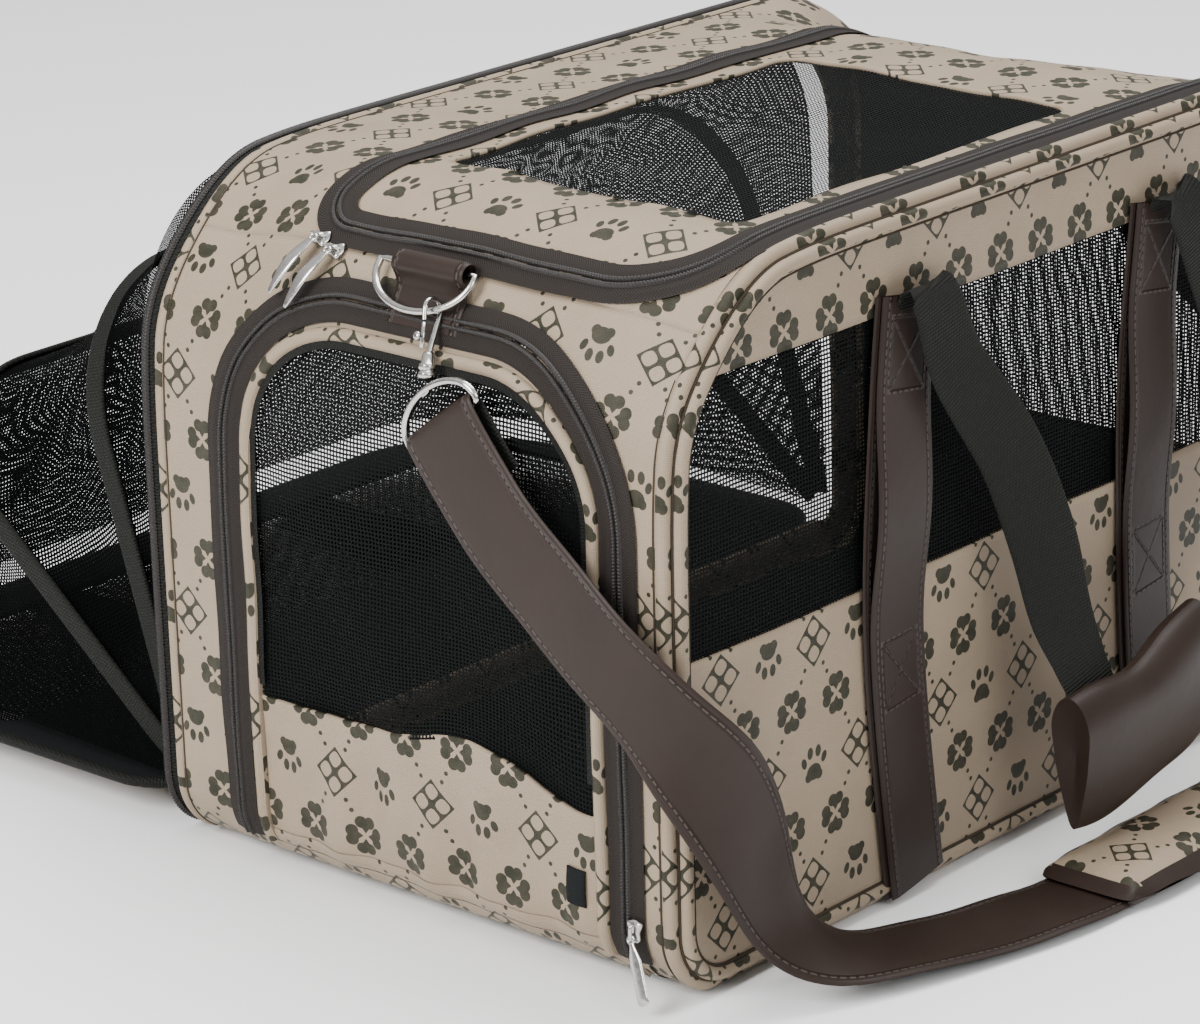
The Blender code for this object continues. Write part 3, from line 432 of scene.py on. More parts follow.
def print_group():
    """The printed motifs, in a repeat of 64 by 120 mm: rows of four-leaf shapes, and between them rows of
    window squares and paws in turn, with pairs of dots from each square to the leaves round it."""
    tree, start, out = new_group("motif_print", [("Place", "NodeSocketVector")], ["Print"])
    u, v = split(tree, start.outputs["Place"], 1000.0)

    lu, lv = abs(u.near(32)), abs(v.near(60))
    a, b = lu.math("MAXIMUM", lv), lu.math("MINIMUM", lv)
    lobe = length(a - 6.9, b - 2.3) - 3.1
    wedge = (b - (a - 1.3) * 0.74).both(a - 7.4)
    leaves = lobe.either(wedge)

    row = (v - 30) * (1 / 60)
    row = row.math("ROUND")
    dv = v - 30 - row * 60
    du = (u - 16 - row * 32).near(64)
    p, q = abs(du + dv) * 0.7071, abs(du - dv) * 0.7071
    pane_p, pane_q = abs(p - 4.4), abs(q - 4.4)
    pane = (pane_p.math("POWER", 3.0) + pane_q.math("POWER", 3.0)).math("POWER", 1 / 3) - 3.5
    square = (p.math("MAXIMUM", q) - 9.0).both(pane * -1)
    du, dv = abs(du), abs(dv)
    dots = length(du - 6.7, dv - 12.6).either(length(du - 9.3, dv - 17.4)) - 1.15

    pu = abs((u - 48 - row * 32).near(64))
    pv = (v - 30 - row * 60) * (row.math("PINGPONG", 1.0) * 2 - 1)
    heel = length(pu * 0.86, (pv + 4.4) * 1.05) - 4.3
    heel = heel.either(length(pu - 3.6, pv + 6.4) - 2.5)
    toe = length((pu - 2.8) * 1.5, pv - 5.4) - 3.0
    toe = toe.either(length((pu - 7.0) * 1.45 - (pv - 1.4) * 0.3, pv - 1.4) - 2.7)
    paw = heel.either(toe)
    out("Print", leaves.either(square).either(dots).either(paw).below(0.25))
    return tree


def weave_group():
    """Fine ribbed weave: threads pass over and under each other in staggered rows."""
    tree, start, out = new_group("weave", [("Place", "NodeSocketVector"), ("Pitch", "NodeSocketFloat")],
                                 ["Height"])
    u, v = split(tree, start.outputs["Place"], 1.0)
    pitch = Wire(tree, start.outputs["Pitch"])
    u, v = u.math("DIVIDE", pitch), v.math("DIVIDE", pitch)
    rib = v.wave(1.0)
    knot = (u + v * 0.5).wave(1.0) * (v * 0.5).wave(1.0)
    out("Height", rib * 0.35 + knot * 0.5 + 0.5)
    return tree


def stitch_group():
    """A row of stitches along v at a distance across: Thread is the thread, Groove the dent it lies in."""
    tree, start, out = new_group("stitch_row", [("Off", "NodeSocketFloat"), ("Along", "NodeSocketFloat")],
                                 ["Thread", "Groove"])
    off, along = Wire(tree, start.outputs["Off"]), Wire(tree, start.outputs["Along"])
    dash = (abs(along.near(0.0042)) - 0.0015).below(0.0004)
    out("Thread", (abs(off) - 0.00052).below(0.0003) * dash)
    out("Groove", (abs(off) - 0.0010).below(0.0014))
    return tree


PRINT, WEAVE, STITCH = print_group(), weave_group(), stitch_group()


class Look:
    """A Principled material with its UV in metres and helpers for its nodes."""

    def __init__(self, name, slot_colour, roughness, metallic=0.0, specular=0.5):
        self.material = bpy.data.materials.new(name)
        self.material.use_nodes = True
        self.tree = self.material.node_tree
        self.shader = self.tree.nodes["Principled BSDF"]
        self.shader.inputs["Base Color"].default_value = (*slot_colour, 1)
        self.shader.inputs["Roughness"].default_value = roughness
        self.shader.inputs["Metallic"].default_value = metallic
        self.shader.inputs["Specular IOR Level"].default_value = specular
        self.uv = self.tree.nodes.new("ShaderNodeUVMap").outputs[0]
        self.object = self.tree.nodes.new("ShaderNodeTexCoord").outputs["Object"]

    def group(self, tree, **values):
        """A node group with its inputs linked or set; returns its outputs by name."""
        node = self.tree.nodes.new("ShaderNodeGroup")
        node.node_tree = tree
        for label, value in values.items():
            if isinstance(value, Wire):
                self.tree.links.new(value.socket, node.inputs[label])
            elif isinstance(value, bpy.types.NodeSocket):
                self.tree.links.new(value, node.inputs[label])
            else:
                node.inputs[label].default_value = value
        return {socket.name: Wire(self.tree, socket) for socket in node.outputs}

    def noise(self, scale, detail, rough=0.55):
        """Fine noise on object coordinates."""
        node = self.tree.nodes.new("ShaderNodeTexNoise")
        self.tree.links.new(self.object, node.inputs["Vector"])
        node.inputs["Scale"].default_value = scale
        node.inputs["Detail"].default_value = detail
        node.inputs["Roughness"].default_value = rough
        return Wire(self.tree, node.outputs[0])

    def mix(self, share, first, second):
        """Colour that goes from first to second with share."""
        node = self.tree.nodes.new("ShaderNodeMix")
        node.data_type = "RGBA"
        self.tree.links.new(share.socket, node.inputs["Factor"])
        for slot, colour in ((node.inputs[6], first), (node.inputs[7], second)):
            if isinstance(colour, bpy.types.NodeSocket):
                self.tree.links.new(colour, slot)
            else:
                slot.default_value = (*colour, 1)
        return node.outputs[2]

    def colour(self, socket):
        """Sets the base colour."""
        self.tree.links.new(socket, self.shader.inputs["Base Color"])

    def rough(self, wire):
        """Sets the roughness."""
        self.tree.links.new(wire.socket, self.shader.inputs["Roughness"])

    def bump(self, wire, height, strength=1.0):
        """Adds relief of that height in metres, on top of any relief added before."""
        node = self.tree.nodes.new("ShaderNodeBump")
        node.inputs["Distance"].default_value = height
        node.inputs["Strength"].default_value = strength
        self.tree.links.new(wire.socket, node.inputs["Height"])
        slot = self.shader.inputs["Normal"]
        if slot.is_linked:
            self.tree.links.new(slot.links[0].from_socket, node.inputs["Normal"])
        self.tree.links.new(node.outputs[0], slot)

    def see_through(self, solid):
        """Lets the surface vanish where solid is 0."""
        clear = self.tree.nodes.new("ShaderNodeBsdfTransparent")
        mix = self.tree.nodes.new("ShaderNodeMixShader")
        output = self.tree.nodes["Material Output"]
        self.tree.links.new(solid.socket, mix.inputs[0])
        self.tree.links.new(clear.outputs[0], mix.inputs[1])
        self.tree.links.new(self.shader.outputs[0], mix.inputs[2])
        self.tree.links.new(mix.outputs[0], output.inputs[0])


# ---------------------------------------------------------------- materials
BEIGE, OLIVE = (0.300, 0.236, 0.168), (0.015, 0.0152, 0.0085)


def printed_fabric(name):
    """Beige ribbed polyester, satin along its threads, with the motifs printed darker; the print's patchy
    fading is painted sheen.
    """
    look = Look(name, BEIGE, 0.5, specular=0.16)
    weave = look.group(WEAVE, Place=look.uv, Pitch=0.00105)["Height"]
    cloud = look.noise(26, 3)
    base = look.mix(cloud, (0.262, 0.203, 0.142), (0.335, 0.266, 0.192))
    base = look.mix(weave * 0.35, base, (0.140, 0.104, 0.072))
    ink = look.group(PRINT, Place=look.uv)["Print"]
    # Painted sheen: patchy noise fades the print, standing for the satin's shine on its glossy zones.
    painted_sheen_fade = look.noise(170, 2) * 0.20 + 0.86
    # Partly painted sheen: the ink lightens on the raised weave, the threads' own texture together with a
    # painted satin highlight.
    ink_colour = look.mix(weave * 0.3, OLIVE, (0.050, 0.049, 0.030))
    base = look.mix((ink * painted_sheen_fade).math("MINIMUM", 1.0), base, ink_colour)
    look.colour(base)
    look.rough(cloud * 0.12 + 0.40)
    look.bump(weave, 0.00012, 0.7)
    look.bump(look.noise(60, 2), 0.0006, 0.5)
    return look.material


def netting(name, pitch, thread, colour=(0.0020, 0.0025, 0.0024), gloss=0.08):
    """Square net: threads of that width every pitch, open between."""
    look = Look(name, colour, 0.75, specular=gloss)
    u, v = split(look.tree, look.uv, 1.0)
    wander = (look.noise(90, 1) - 0.5) * (0.5 * pitch)
    u, v = u + wander, v + wander
    cu, cv = abs(u.near(pitch)), abs(v.near(pitch))
    hole = pitch / 2 - thread / 2
    open_ = (cu.math("POWER", 4.0) + cv.math("POWER", 4.0)).math("POWER", 0.25) - hole
    look.see_through(open_.below(0.00012) * -1 + 1)
    look.bump((cu + cv) * (1 / pitch), 0.0003, 0.6)
    return look.material


def leather(name="brown_leatherette", edges=None, box=None):
    """Soft brown leatherette with a fine grain. edges are the places across with a row of stitches; box is
    (middle across, half width, heights along) of squares stitched with a cross."""
    look = Look(name, (0.022, 0.013, 0.010), 0.42, specular=0.20)
    grain = look.noise(1900, 4, rough=0.65)
    cloud = look.noise(30, 3)
    base = look.mix(cloud, (0.0160, 0.0090, 0.0066), (0.0285, 0.0172, 0.0132))
    base = look.mix(grain * 0.35, base, (0.0085, 0.0048, 0.0036))
    u, v = split(look.tree, look.uv, 1.0)
    thread, groove_with_shade = None, None

    def sew(found):
        nonlocal thread, groove_with_shade
        thread = found["Thread"] if thread is None else thread.math("MAXIMUM", found["Thread"])
        groove_with_shade = found["Groove"] if groove_with_shade is None else groove_with_shade.math("MAXIMUM", found["Groove"])

    for place in edges or ():
        sew(look.group(STITCH, Off=u - place, Along=v))
    if box:
        middle, half, heights = box
        p = u - middle
        for place in heights:
            q = v - place
            inside = (abs(p) - half - 0.0004).both(abs(q) - half * 1.3 - 0.0004).below(0.0002)
            for off, along in ((abs(p) - half, q), (abs(q) - half * 1.3, p), (abs(p) * 1.3 - abs(q), q)):
                found = look.group(STITCH, Off=off, Along=along)
                sew({key: wire * inside for key, wire in found.items()})
    if thread is not None:
        # Painted shade: the stitch dents are darkened in colour as well as sunk by the bump below.
        base = look.mix(groove_with_shade * 0.6, base, (0.0065, 0.0042, 0.0036))
        base = look.mix(thread, base, (0.060, 0.042, 0.035))
        look.bump(thread - groove_with_shade * 0.9, 0.0009, 0.9)
    look.colour(base)
    look.rough(grain * 0.18 + cloud * 0.10 + 0.30)
    look.bump(grain, 0.00012, 0.6)
    look.bump(look.noise(75, 3), 0.0006, 0.45)
    return look.material


def webbing(name="black_polyester_webbing", colour=(0.007, 0.0072, 0.0065)):
    """Ribbed black webbing."""
    look = Look(name, colour, 0.7, specular=0.14)
    u, v = split(look.tree, look.uv, 1.0)
    rib = v.wave(0.0016) * 0.5 + (u + v * 0.5).wave(0.0021) * 0.3 + 0.5
    look.colour(look.mix(rib * 0.6, (0.0085, 0.0088, 0.0074), (0.0022, 0.0023, 0.0020)))
    look.bump(rib, 0.00035, 0.8)
    look.rough(look.noise(400, 2) * 0.2 + 0.5)
    return look.material


def zip_tape():
    """Brown herringbone tape."""
    look = Look("brown_zip_tape", (0.014, 0.011, 0.009), 0.7, specular=0.2)
    u, v = split(look.tree, look.uv, 1.0)
    chevron = (v + abs(u.near(0.0062)) * 0.9).wave(0.0013) * 0.5 + 0.5
    look.colour(look.mix(chevron, (0.0055, 0.0042, 0.0035), (0.024, 0.018, 0.0145)))
    look.bump(chevron, 0.00022, 0.8)
    return look.material


def zip_coil():
    """Moulded nylon coil, dark and a little shiny."""
    look = Look("dark_nylon_coil", (0.013, 0.011, 0.010), 0.42, specular=0.3)
    look.colour(look.mix(look.noise(900, 2), (0.0060, 0.0050, 0.0045), (0.022, 0.018, 0.016)))
    look.bump(look.noise(1500, 2), 0.00008, 0.5)
    return look.material


def nickel():
    """Plated metal with faint rubbing."""
    look = Look("nickel_plate", (0.80, 0.78, 0.74), 0.16, metallic=1.0)
    rub = look.noise(350, 4)
    look.colour(look.mix(rub, (0.40, 0.39, 0.37), (0.62, 0.61, 0.585)))
    look.rough(rub * 0.22 + 0.08)
    look.bump(look.noise(700, 2), 0.00004, 0.4)
    return look.material


def lining(name="dark_lining_cloth", low=(0.0030, 0.0035, 0.0038), high=(0.0085, 0.0096, 0.0104)):
    """Dark woven lining."""
    look = Look(name, high, 0.85, specular=0.15)
    weave = look.group(WEAVE, Place=look.uv, Pitch=0.0012)["Height"]
    look.colour(look.mix(weave * 0.6 + look.noise(40, 3) * 0.4, low, high))
    look.bump(weave, 0.0002, 0.6)
    look.bump(look.noise(35, 2), 0.0010, 0.4)
    return look.material


FABRIC = printed_fabric("printed_polyester")
BEAD = printed_fabric("printed_piping")
NET = netting("black_net", 0.0021, 0.00095)
FINE_NET = netting("black_room_net", 0.0021, 0.00125, (0.0010, 0.0012, 0.0012), 0.02)
LEATHER = leather()
CARRY_LEATHER = leather("strap_leather", edges=(0.0040, 0.0460))
SEWN_LEATHER = leather("sewn_strap_leather", edges=(0.0040, 0.0360), box=(0.020, 0.0135, (0.120, 0.272)))
WEBBING = webbing()
BINDING = webbing("black_binding", (0.012, 0.012, 0.013))
TAPE, COIL, METAL, LINING = zip_tape(), zip_coil(), nickel(), lining()
# Painted shadow: dark cloth for the thin cords that stand for the shade in the piping grooves.
SEAM_SHADOW = lining("seam_shadow_cloth", (0.022, 0.0165, 0.0112), (0.055, 0.042, 0.029))
BOARD = lining("base_board_cloth", (0.010, 0.010, 0.010), (0.022, 0.022, 0.022))


# ---------------------------------------------------------------- wrap: underside, ends and top
def cells(low, high, size=CELL):
    """Evenly spaced places from low to high, about size apart."""
    return np.linspace(low, high, int(round((high - low) / size)) + 1)


def wrap_panels():
    """The four panels of the wrap, with the openings for door, flap and rear window."""
    xs = cells(-WRAP_X, WRAP_X)
    low, high = float(front_s(0.008)), float(front_s(0.316))
    rear_high = 2 * (UP + TURN) + LENGTH - 2 * TOP_R - high
    rear_low = rear_high + (high - low)

    def front_hole(x, s):
        return -arch_depth(x, loaf(s)[1], 0.0003, -1.0)

    def top_hole(x, s):
        return -flap_depth(x, loaf(s)[0], 0.0003)

    def rear_hole(x, s):
        return -round_box(x, loaf(s)[1] - 0.1725, 0.105, 0.0675, 0.030)

    plan = (("front_wall", "front_panel", low, high, front_hole),
            ("top_wall", "top_panel", high, rear_high, top_hole),
            ("rear_wall", "rear_panel", rear_high, rear_low, rear_hole),
            ("underside", "bottom_panel", rear_low, ROUND + low, lambda x, s: x * 0 - 1))
    for name, node, start, end, hole in plan:
        add(cut_sheet(name, xs, cells(start, end), hole, on_wrap, [FABRIC, LINING], 0.0034),
            "carrier_body", "printed_fabric", node)
    pane = cut_sheet("rear_window", cells(-0.11, 0.11), cells(rear_high - 0.03, rear_low), lambda x,
                     s: -rear_hole(x, s) - 0.004,
                     lambda x, s: on_wrap(x, s, -0.002), [NET])
    add(pane, "carrier_body", "black_netting", "rear_mesh")


# ---------------------------------------------------------------- front door
def net_edge(x):
    """Height of the lower edge of the door's net, a little uneven."""
    return 0.0925 + 0.0095 * np.exp(-((x - 0.035) / 0.035) ** 2) - 0.0095 * smoothstep(x, 0.06, 0.11)


def front_door():
    """Printed door panel, its net, the bead round the net and a plain tag."""
    xs = cells(DOOR_X - DOOR_HALF - CELL, DOOR_X + DOOR_HALF + CELL, 0.003)
    ss = cells(float(front_s(0.014)), float(front_s(DOOR_TOP)) + CELL, 0.003)
    edge = 0.0925

    def bent(x, t):
        return t + (net_edge(x) - edge) * np.exp(-((t - edge + LOW_R) / 0.032) ** 2)

    def door_cut(x, t):
        z = loaf(bent(x, t))[1]
        window = np.maximum(arch_depth(x, z, -0.0175), edge - LOW_R - t)
        return np.maximum(arch_depth(x, z, -0.0003), -window)

    def net_cut(x, t):
        return np.maximum(arch_depth(x, loaf(bent(x, t))[1], -0.0175), edge - LOW_R - t) - 0.0025

    def net_place(x, t):
        s = bent(x, t)
        return on_wrap(x, s, -0.0014 + 0.0016 * np.sin(x * 47 + 1) * np.sin(s * 31))

    panel = cut_sheet("door_panel", xs, ss, door_cut, lambda x, t: on_wrap(x, bent(x, t)), [FABRIC, LINING],
                      0.0024,
                      lambda uv: np.stack([uv[:, 0], bent(uv[:, 0], uv[:, 1])], -1))
    add(panel, "front_door", "printed_fabric", "front_door")
    pane = cut_sheet("door_net", xs, ss, net_cut, net_place, [NET])
    add(pane, "front_door", "black_netting", "front_door_mesh")

    x, s = arch_path(-0.0145, 400)
    add(tube("door_bead", on_wrap(x, s, 0.0002), 0.0034, BEAD, 10), "front_door", "printed_fabric")
    x, s = arch_path(-0.0190, 400, float(net_edge(DOOR_X)) + 0.001)
    rim = from_grids("door_net_binding",
                     [strip(x, s, (-0.0022, 0.0022), lambda w: 0.0009 + 0 * w, 5) + (0,)], [BINDING])
    add(rim, "front_door", "black_webbing")
    for name, body, reach, low, high in (("door_foot", "front_door", DOOR_HALF - 0.003, 0.0154, 0.0235),
                                         ("wall_foot", "carrier_body", DOOR_HALF + 0.006, 0.0035, 0.0150)):
        u, v = np.meshgrid(np.linspace(DOOR_X - reach, DOOR_X + reach, 90),
                           np.linspace(float(front_s(low)), float(front_s(high)), 9), indexing="ij")
        lift = 0.0006 * np.sin(np.pi * np.linspace(0, 1, 9))[None, :] + 0.0003
        place = np.stack([u, v], -1)
        foot = from_grids(name, [(on_wrap(u, v, lift)[:, ::-1], place[:, ::-1], 0)], [FABRIC])
        add(foot, body, "printed_fabric")
    u, v = np.meshgrid(np.linspace(0.088, 0.100, 7), np.linspace(0.038, 0.056, 9), indexing="ij")
    lift = 0.0012 + 0.0006 * np.sin((v - 0.038) * 170)
    tag = from_grids("plain_tag", [(on_wrap(DOOR_X + u, front_s(v), lift), np.stack([u, v], -1), 0)],
                     [LINING])
    tag.modifiers.new("thickness", "SOLIDIFY").thickness = 0.0008
    add(tag, "front_door", "black_webbing", "front_tag")


def arch_path(grow, count, low=None):
    """The door's outline as x and run along the wrap, from one foot over the top to the other."""
    half, radius, top = DOOR_HALF + grow, DOOR_R + grow, DOOR_TOP + grow
    turn = np.radians(np.linspace(0, 90, 24))
    foot = DOOR_LOW + 0.001 if low is None else low
    right = np.stack([half - radius + radius * np.cos(turn), top - radius + radius * np.sin(turn)], -1)
    side = np.vstack([[half, foot], right])
    line = np.vstack([side, side[::-1] * [-1, 1]])
    line = even(np.stack([line[:, 0] + DOOR_X, front_s(line[:, 1])], -1), count)
    return line[:, 0], line[:, 1]


def flap_path(grow, count):
    """The flap's outline as x and run along the wrap, from the rear left over the front to the rear right."""
    left, right = FLAP_R[0] + grow, FLAP_R[1] + grow
    turn = np.radians(np.linspace(0, 90, 20))
    x0, x1, y0 = FLAP_X[0] - grow, FLAP_X[1] + grow, FLAP_Y[0] - grow
    line = np.vstack([[x0, FLAP_Y[1] - 0.002],
                      np.stack([x0 + left - left * np.cos(turn), y0 + left - left * np.sin(turn)], -1),
                      np.stack([x1 - right + right * np.sin(turn), y0 + right - right * np.cos(turn)], -1),
                      [x1, FLAP_Y[1] - 0.002]])
    dense = np.vstack([np.linspace(a, b, 12, endpoint=False) for a, b in zip(line[:-1], line[1:])]
                      + [line[-1:]])
    line = even(np.stack([dense[:, 0], top_s(dense[:, 1])], -1), count)
    return line[:, 0], line[:, 1]


def strip(x, s, limits, lift, count, place=on_wrap, ripple=None):
    """Ribbon on the wrap beside a path of x and s. limits are how far it reaches to the left of the path;
    lift(w) is its height. Returns its points and UV."""
    along = unit(np.gradient(np.stack([x, s], -1), axis=0))
    left = np.stack([-along[:, 1], along[:, 0]], -1)
    w = np.linspace(*limits, count)
    run = run_length(np.stack([x, s, 0 * s], -1))
    px = x[:, None] + left[:, :1] * w
    ps = s[:, None] + left[:, 1:] * w
    height = np.broadcast_to(lift(w), px.shape)
    if ripple is not None:
        height = height + ripple(run[:, None], w[None, :])
    return place(px, ps, height), np.stack(np.broadcast_arrays(w[None, :], run[:, None]), -1)


def zip_half(name, x, s, side, body, node):
    """One half of a zip beside a path: its tape, and a row of coil whose turns are small ridges."""
    def tape_lift(w):
        return 0.0014 + 0.0004 * np.sin(np.abs(w) * 400)

    def coil_lift(w):
        share = (np.abs(w) - 0.0003) / 0.0027
        return 0.0016 + 0.0015 * np.sqrt(np.clip(1 - (2 * share - 1) ** 2, 0, 1))

    def turns(run, w):
        share = np.clip((np.abs(w) - 0.0003) / 0.0027, 0, 1)
        wave = np.sin(2 * np.pi * (run / 0.0016 + 0.25 * side + share * 0.5))
        return 0.00045 * wave * np.sin(np.pi * share)

    fine = np.stack([x, s], -1)
    fx, fs = even(fine, int(run_length(fine)[-1] / 0.0004)).T
    tape = strip(x, s, (side * 0.0022, side * 0.0105), tape_lift, 6, on_wrap) + (0,)
    coil = strip(fx, fs, (side * 0.0003, side * 0.0030), coil_lift, 7, on_wrap, turns) + (1,)
    made = from_grids(name, [tape, coil], [TAPE, COIL])
    return add(made, body, "zip_tape", node)


# ---------------------------------------------------------------- top flap
def top_flap():
    """Printed flap with its net window; the zip round its three sides is made in zips()."""
    xs = cells(FLAP_X[0] - CELL, FLAP_X[1] + CELL, 0.0035)
    ss = cells(float(top_s(FLAP_Y[0])) - CELL, float(top_s(FLAP_Y[1])), 0.0035)

    def window(x, s):
        y = loaf(s)[0]
        return round_box(x - 0.037, y + 0.051, 0.089, 0.129, 0.012) + 0.0012 * np.sin(x * 60) * np.sin(y * 45)

    panel = cut_sheet("flap_panel", xs, ss,
                      lambda x, s: np.maximum(flap_depth(x, loaf(s)[0], -0.0003), -window(x, s)),
                      on_wrap, [FABRIC, LINING], 0.0024)
    add(panel, "top_flap", "printed_fabric", "top_flap")
    pane = cut_sheet("flap_net", xs, ss, lambda x, s: window(x, s) - 0.003,
                     lambda x, s: on_wrap(x, s,
                                          -0.0016 - 0.0030 * np.clip(1 - ((x - 0.037) / 0.089) ** 2, 0, 1)
                                          * np.clip(1 - ((loaf(s)[0] + 0.051) / 0.129) ** 2, 0, 1)), [NET])
    add(pane, "top_flap", "black_netting", "top_flap_mesh")


def zips():
    """Both zips, each half on its own body."""
    x, s = arch_path(0.0, 420)
    zip_half("door_zip_wall_half", x, s, -1, "carrier_body", "front_zip_outer")
    zip_half("door_zip_door_half", x, s, 1, "front_door", "front_zip_inner")
    x, s = flap_path(0.0, 420)
    zip_half("flap_zip_wall_half", x, s, -1, "carrier_body", "top_zip_outer")
    zip_half("flap_zip_flap_half", x, s, 1, "top_flap", "top_zip_inner")


# ---------------------------------------------------------------- long sides
def beads():
    """Two printed piping cords along the edge of each long side, and three thin dark cords in the grooves
    beside and between them as painted seam shadow. On the left the side room's zip runs outside them."""
    s = np.linspace(0, ROUND, 640)
    y, z, ny, nz = loaf(s)
    for side, label in ((1, "right"), (-1, "left")):
        for number, (x, off) in enumerate(((0.1572, -0.0024), (0.1618, -0.0082))):
            off = off - shoulder(s)
            path = np.stack([side * x + 0 * s, y + ny * off, np.maximum(z + nz * off, 0.0037)], -1)
            made = tube(f"{label}_bead_{number + 1}", path, 0.0036, BEAD, 12)
            nodes = (f"{label}_piping",) if number == 0 else ()
            add(made, "carrier_body", "printed_fabric", *nodes)
        # Painted shadow: thin dark cords in the grooves inside, between and outside the beads stand for the
        # shade there.
        for number, (x, off, thick) in enumerate(((0.1537, -0.0002, 0.0007), (0.1606, -0.0047, 0.0010),
                                                  (0.1630, -0.0119, 0.0008))):
            off = off - shoulder(s)
            path = np.stack([side * x + 0 * s, y + ny * off, np.maximum(z + nz * off, 0.0030)], -1)
            add(tube(f"{label}_bead_seam_shadow_{number + 1}", path, thick, SEAM_SHADOW, 6), "carrier_body", "zip_tape")


def right_side():
    """Printed panels of the right long side and the net window between them."""
    ys = cells(-LENGTH / 2, LENGTH / 2)
    zs = cells(0.002, HEIGHT)
    plan = (("side_lower_panel", "right_lower_panel", 0.0, SIDE_NET[0]),
            ("side_upper_panel", "right_upper_panel", SIDE_NET[1], HEIGHT))
    for name, node, low, high in plan:
        made = cut_sheet(name, ys, zs,
                         lambda y, z, low=low,
                         high=high: np.maximum(loaf_depth(y, z, -0.0070), np.maximum(low - z, z - high)),
                         on_side, [FABRIC, LINING], 0.0030)
        add(made, "carrier_body", "printed_fabric", node)
    pane = cut_sheet("side_window", ys, zs,
                     lambda y, z: np.maximum(loaf_depth(y, z, -0.0070),
                                             np.maximum(SIDE_NET[0] - 0.003 - z, z - SIDE_NET[1] - 0.003)),
                     lambda y, z: on_side(y, z, -0.0016), [NET])
    add(pane, "carrier_body", "black_netting", "right_mesh")


def left_opening():
    """Fabric frame of the left opening and the zip that holds the side room on."""
    ys, zs = cells(-LENGTH / 2, LENGTH / 2), cells(0.002, HEIGHT)
    made = cut_sheet("left_frame", ys, zs,
                     lambda y, z: np.maximum(loaf_depth(y, z, -0.0070), -loaf_depth(y, z, -0.0240)),
                     lambda y, z: np.stack([-SIDE_X + 0 * y, y, z], -1), [FABRIC, LINING], -0.0030)
    add(made, "carrier_body", "printed_fabric", "left_rim")
    s = np.linspace(0, ROUND, 640)
    y, z, ny, nz = loaf(s)
    tape, coil = [], []
    for w, out in ((0.0000, -0.0050), (0.0030, -0.0022), (0.0065, -0.0008), (0.0100, -0.0010),
                   (0.0125, -0.0030)):
        depth = out - shoulder(s)
        tape.append(np.stack([-0.1600 - w + 0 * s, y + ny * depth, z + nz * depth], -1))
    grid = np.stack(tape, 1)
    uv = np.stack(np.broadcast_arrays(np.linspace(0, 0.014, 5)[None, :], s[:, None]), -1)
    fine = np.linspace(0, ROUND, int(ROUND / 0.0005))
    fy, fz, fny, fnz = loaf(fine)
    for share in np.linspace(0, 1, 7):
        lift = -0.0008 + 0.0016 * math.sin(math.pi * share) + 0.0004 * np.sin(2 * np.pi
                                                                              * (fine / 0.0018 + share))
        lift = lift - shoulder(fine)
        coil.append(np.stack([-0.1650 - 0.0042 * share + 0 * fine, fy + fny * lift, fz + fnz * lift], -1))
    coil = np.stack(coil, 1)
    coil_uv = np.stack(np.broadcast_arrays(np.linspace(0, 0.004, 7)[None, :], fine[:, None]), -1)
    made = from_grids("room_zip", [(grid, uv, 0), (coil, coil_uv, 1)], [BINDING, COIL])
    add(made, "carrier_body", "zip_tape")


def side_straps():
    """Leather straps sewn up the right side: a folded under layer, and an outer one that stands off
    between its two stitched squares."""
    z = np.linspace(0.006, 0.298, 110)
    for label, y in (("front", -STRAP_Y), ("rear", STRAP_Y)):
        parts = []
        bow = np.sin(np.pi * smoothstep(z, 0.135, 0.262)) * 0.0042
        lean = -0.020 * np.sin(np.pi * 0.9 * z / 0.30)
        for shift, off, thick in ((0.0, 0.0042 + bow, 0.0022), (-0.0022, 0.0018 + 0 * bow, 0.0018)):
            path = on_side(np.full_like(z, y) + shift + lean, z, 0) + np.array([1, 0, 0]) * off[:, None]
            parts += band_faces(path, np.broadcast_to([0.0, 1.0, 0.0], path.shape), 0.040, thick, 17, 0.0004,
                                z)
        add(from_grids(f"sewn_strap_{label}", parts, [SEWN_LEATHER]), "carrier_body", "brown_leather",
            f"right_strap_{label}")


# ---------------------------------------------------------------- sliders, rings and hooks
def arr(*values):
    """Values as an array."""
    return np.array(values, float)


def bend_point(angle, off):
    """Y and Z on the front top bend, degrees round from the top."""
    a, r = np.radians(angle), TOP_R + off
    return TOP_R - LENGTH / 2 - r * np.sin(a), HEIGHT - TOP_R + r * np.cos(a)


def lathe(start, axis, rows, sides=20):
    """Turned part: rows of (distance along the axis, radius). Returns its points and UV."""
    axis = unit(arr(*axis))
    side = unit(np.cross(axis, [0.31, 0.52, 0.79]))
    other = np.cross(axis, side)
    rows = np.array(rows, float)
    turn = np.linspace(0, 2 * np.pi, sides + 1)
    rim = np.cos(turn)[:, None] * side + np.sin(turn)[:, None] * other
    grid = arr(*start) + rows[:, None, :1] * axis + rows[:, None, 1:] * rim[None]
    uv = np.stack(np.broadcast_arrays(turn[None, :] * 0.005, rows[:, :1]), -1)
    return grid[::-1], uv[::-1]


def mirrored(grids):
    """The same parts at the rear: Y turned round, rows reversed so that they still face outwards."""
    return [(grid[::-1] * [1, -1, 1], uv[::-1], look) for grid, uv, look in grids]


REAR_TURN = math.radians(15.5)


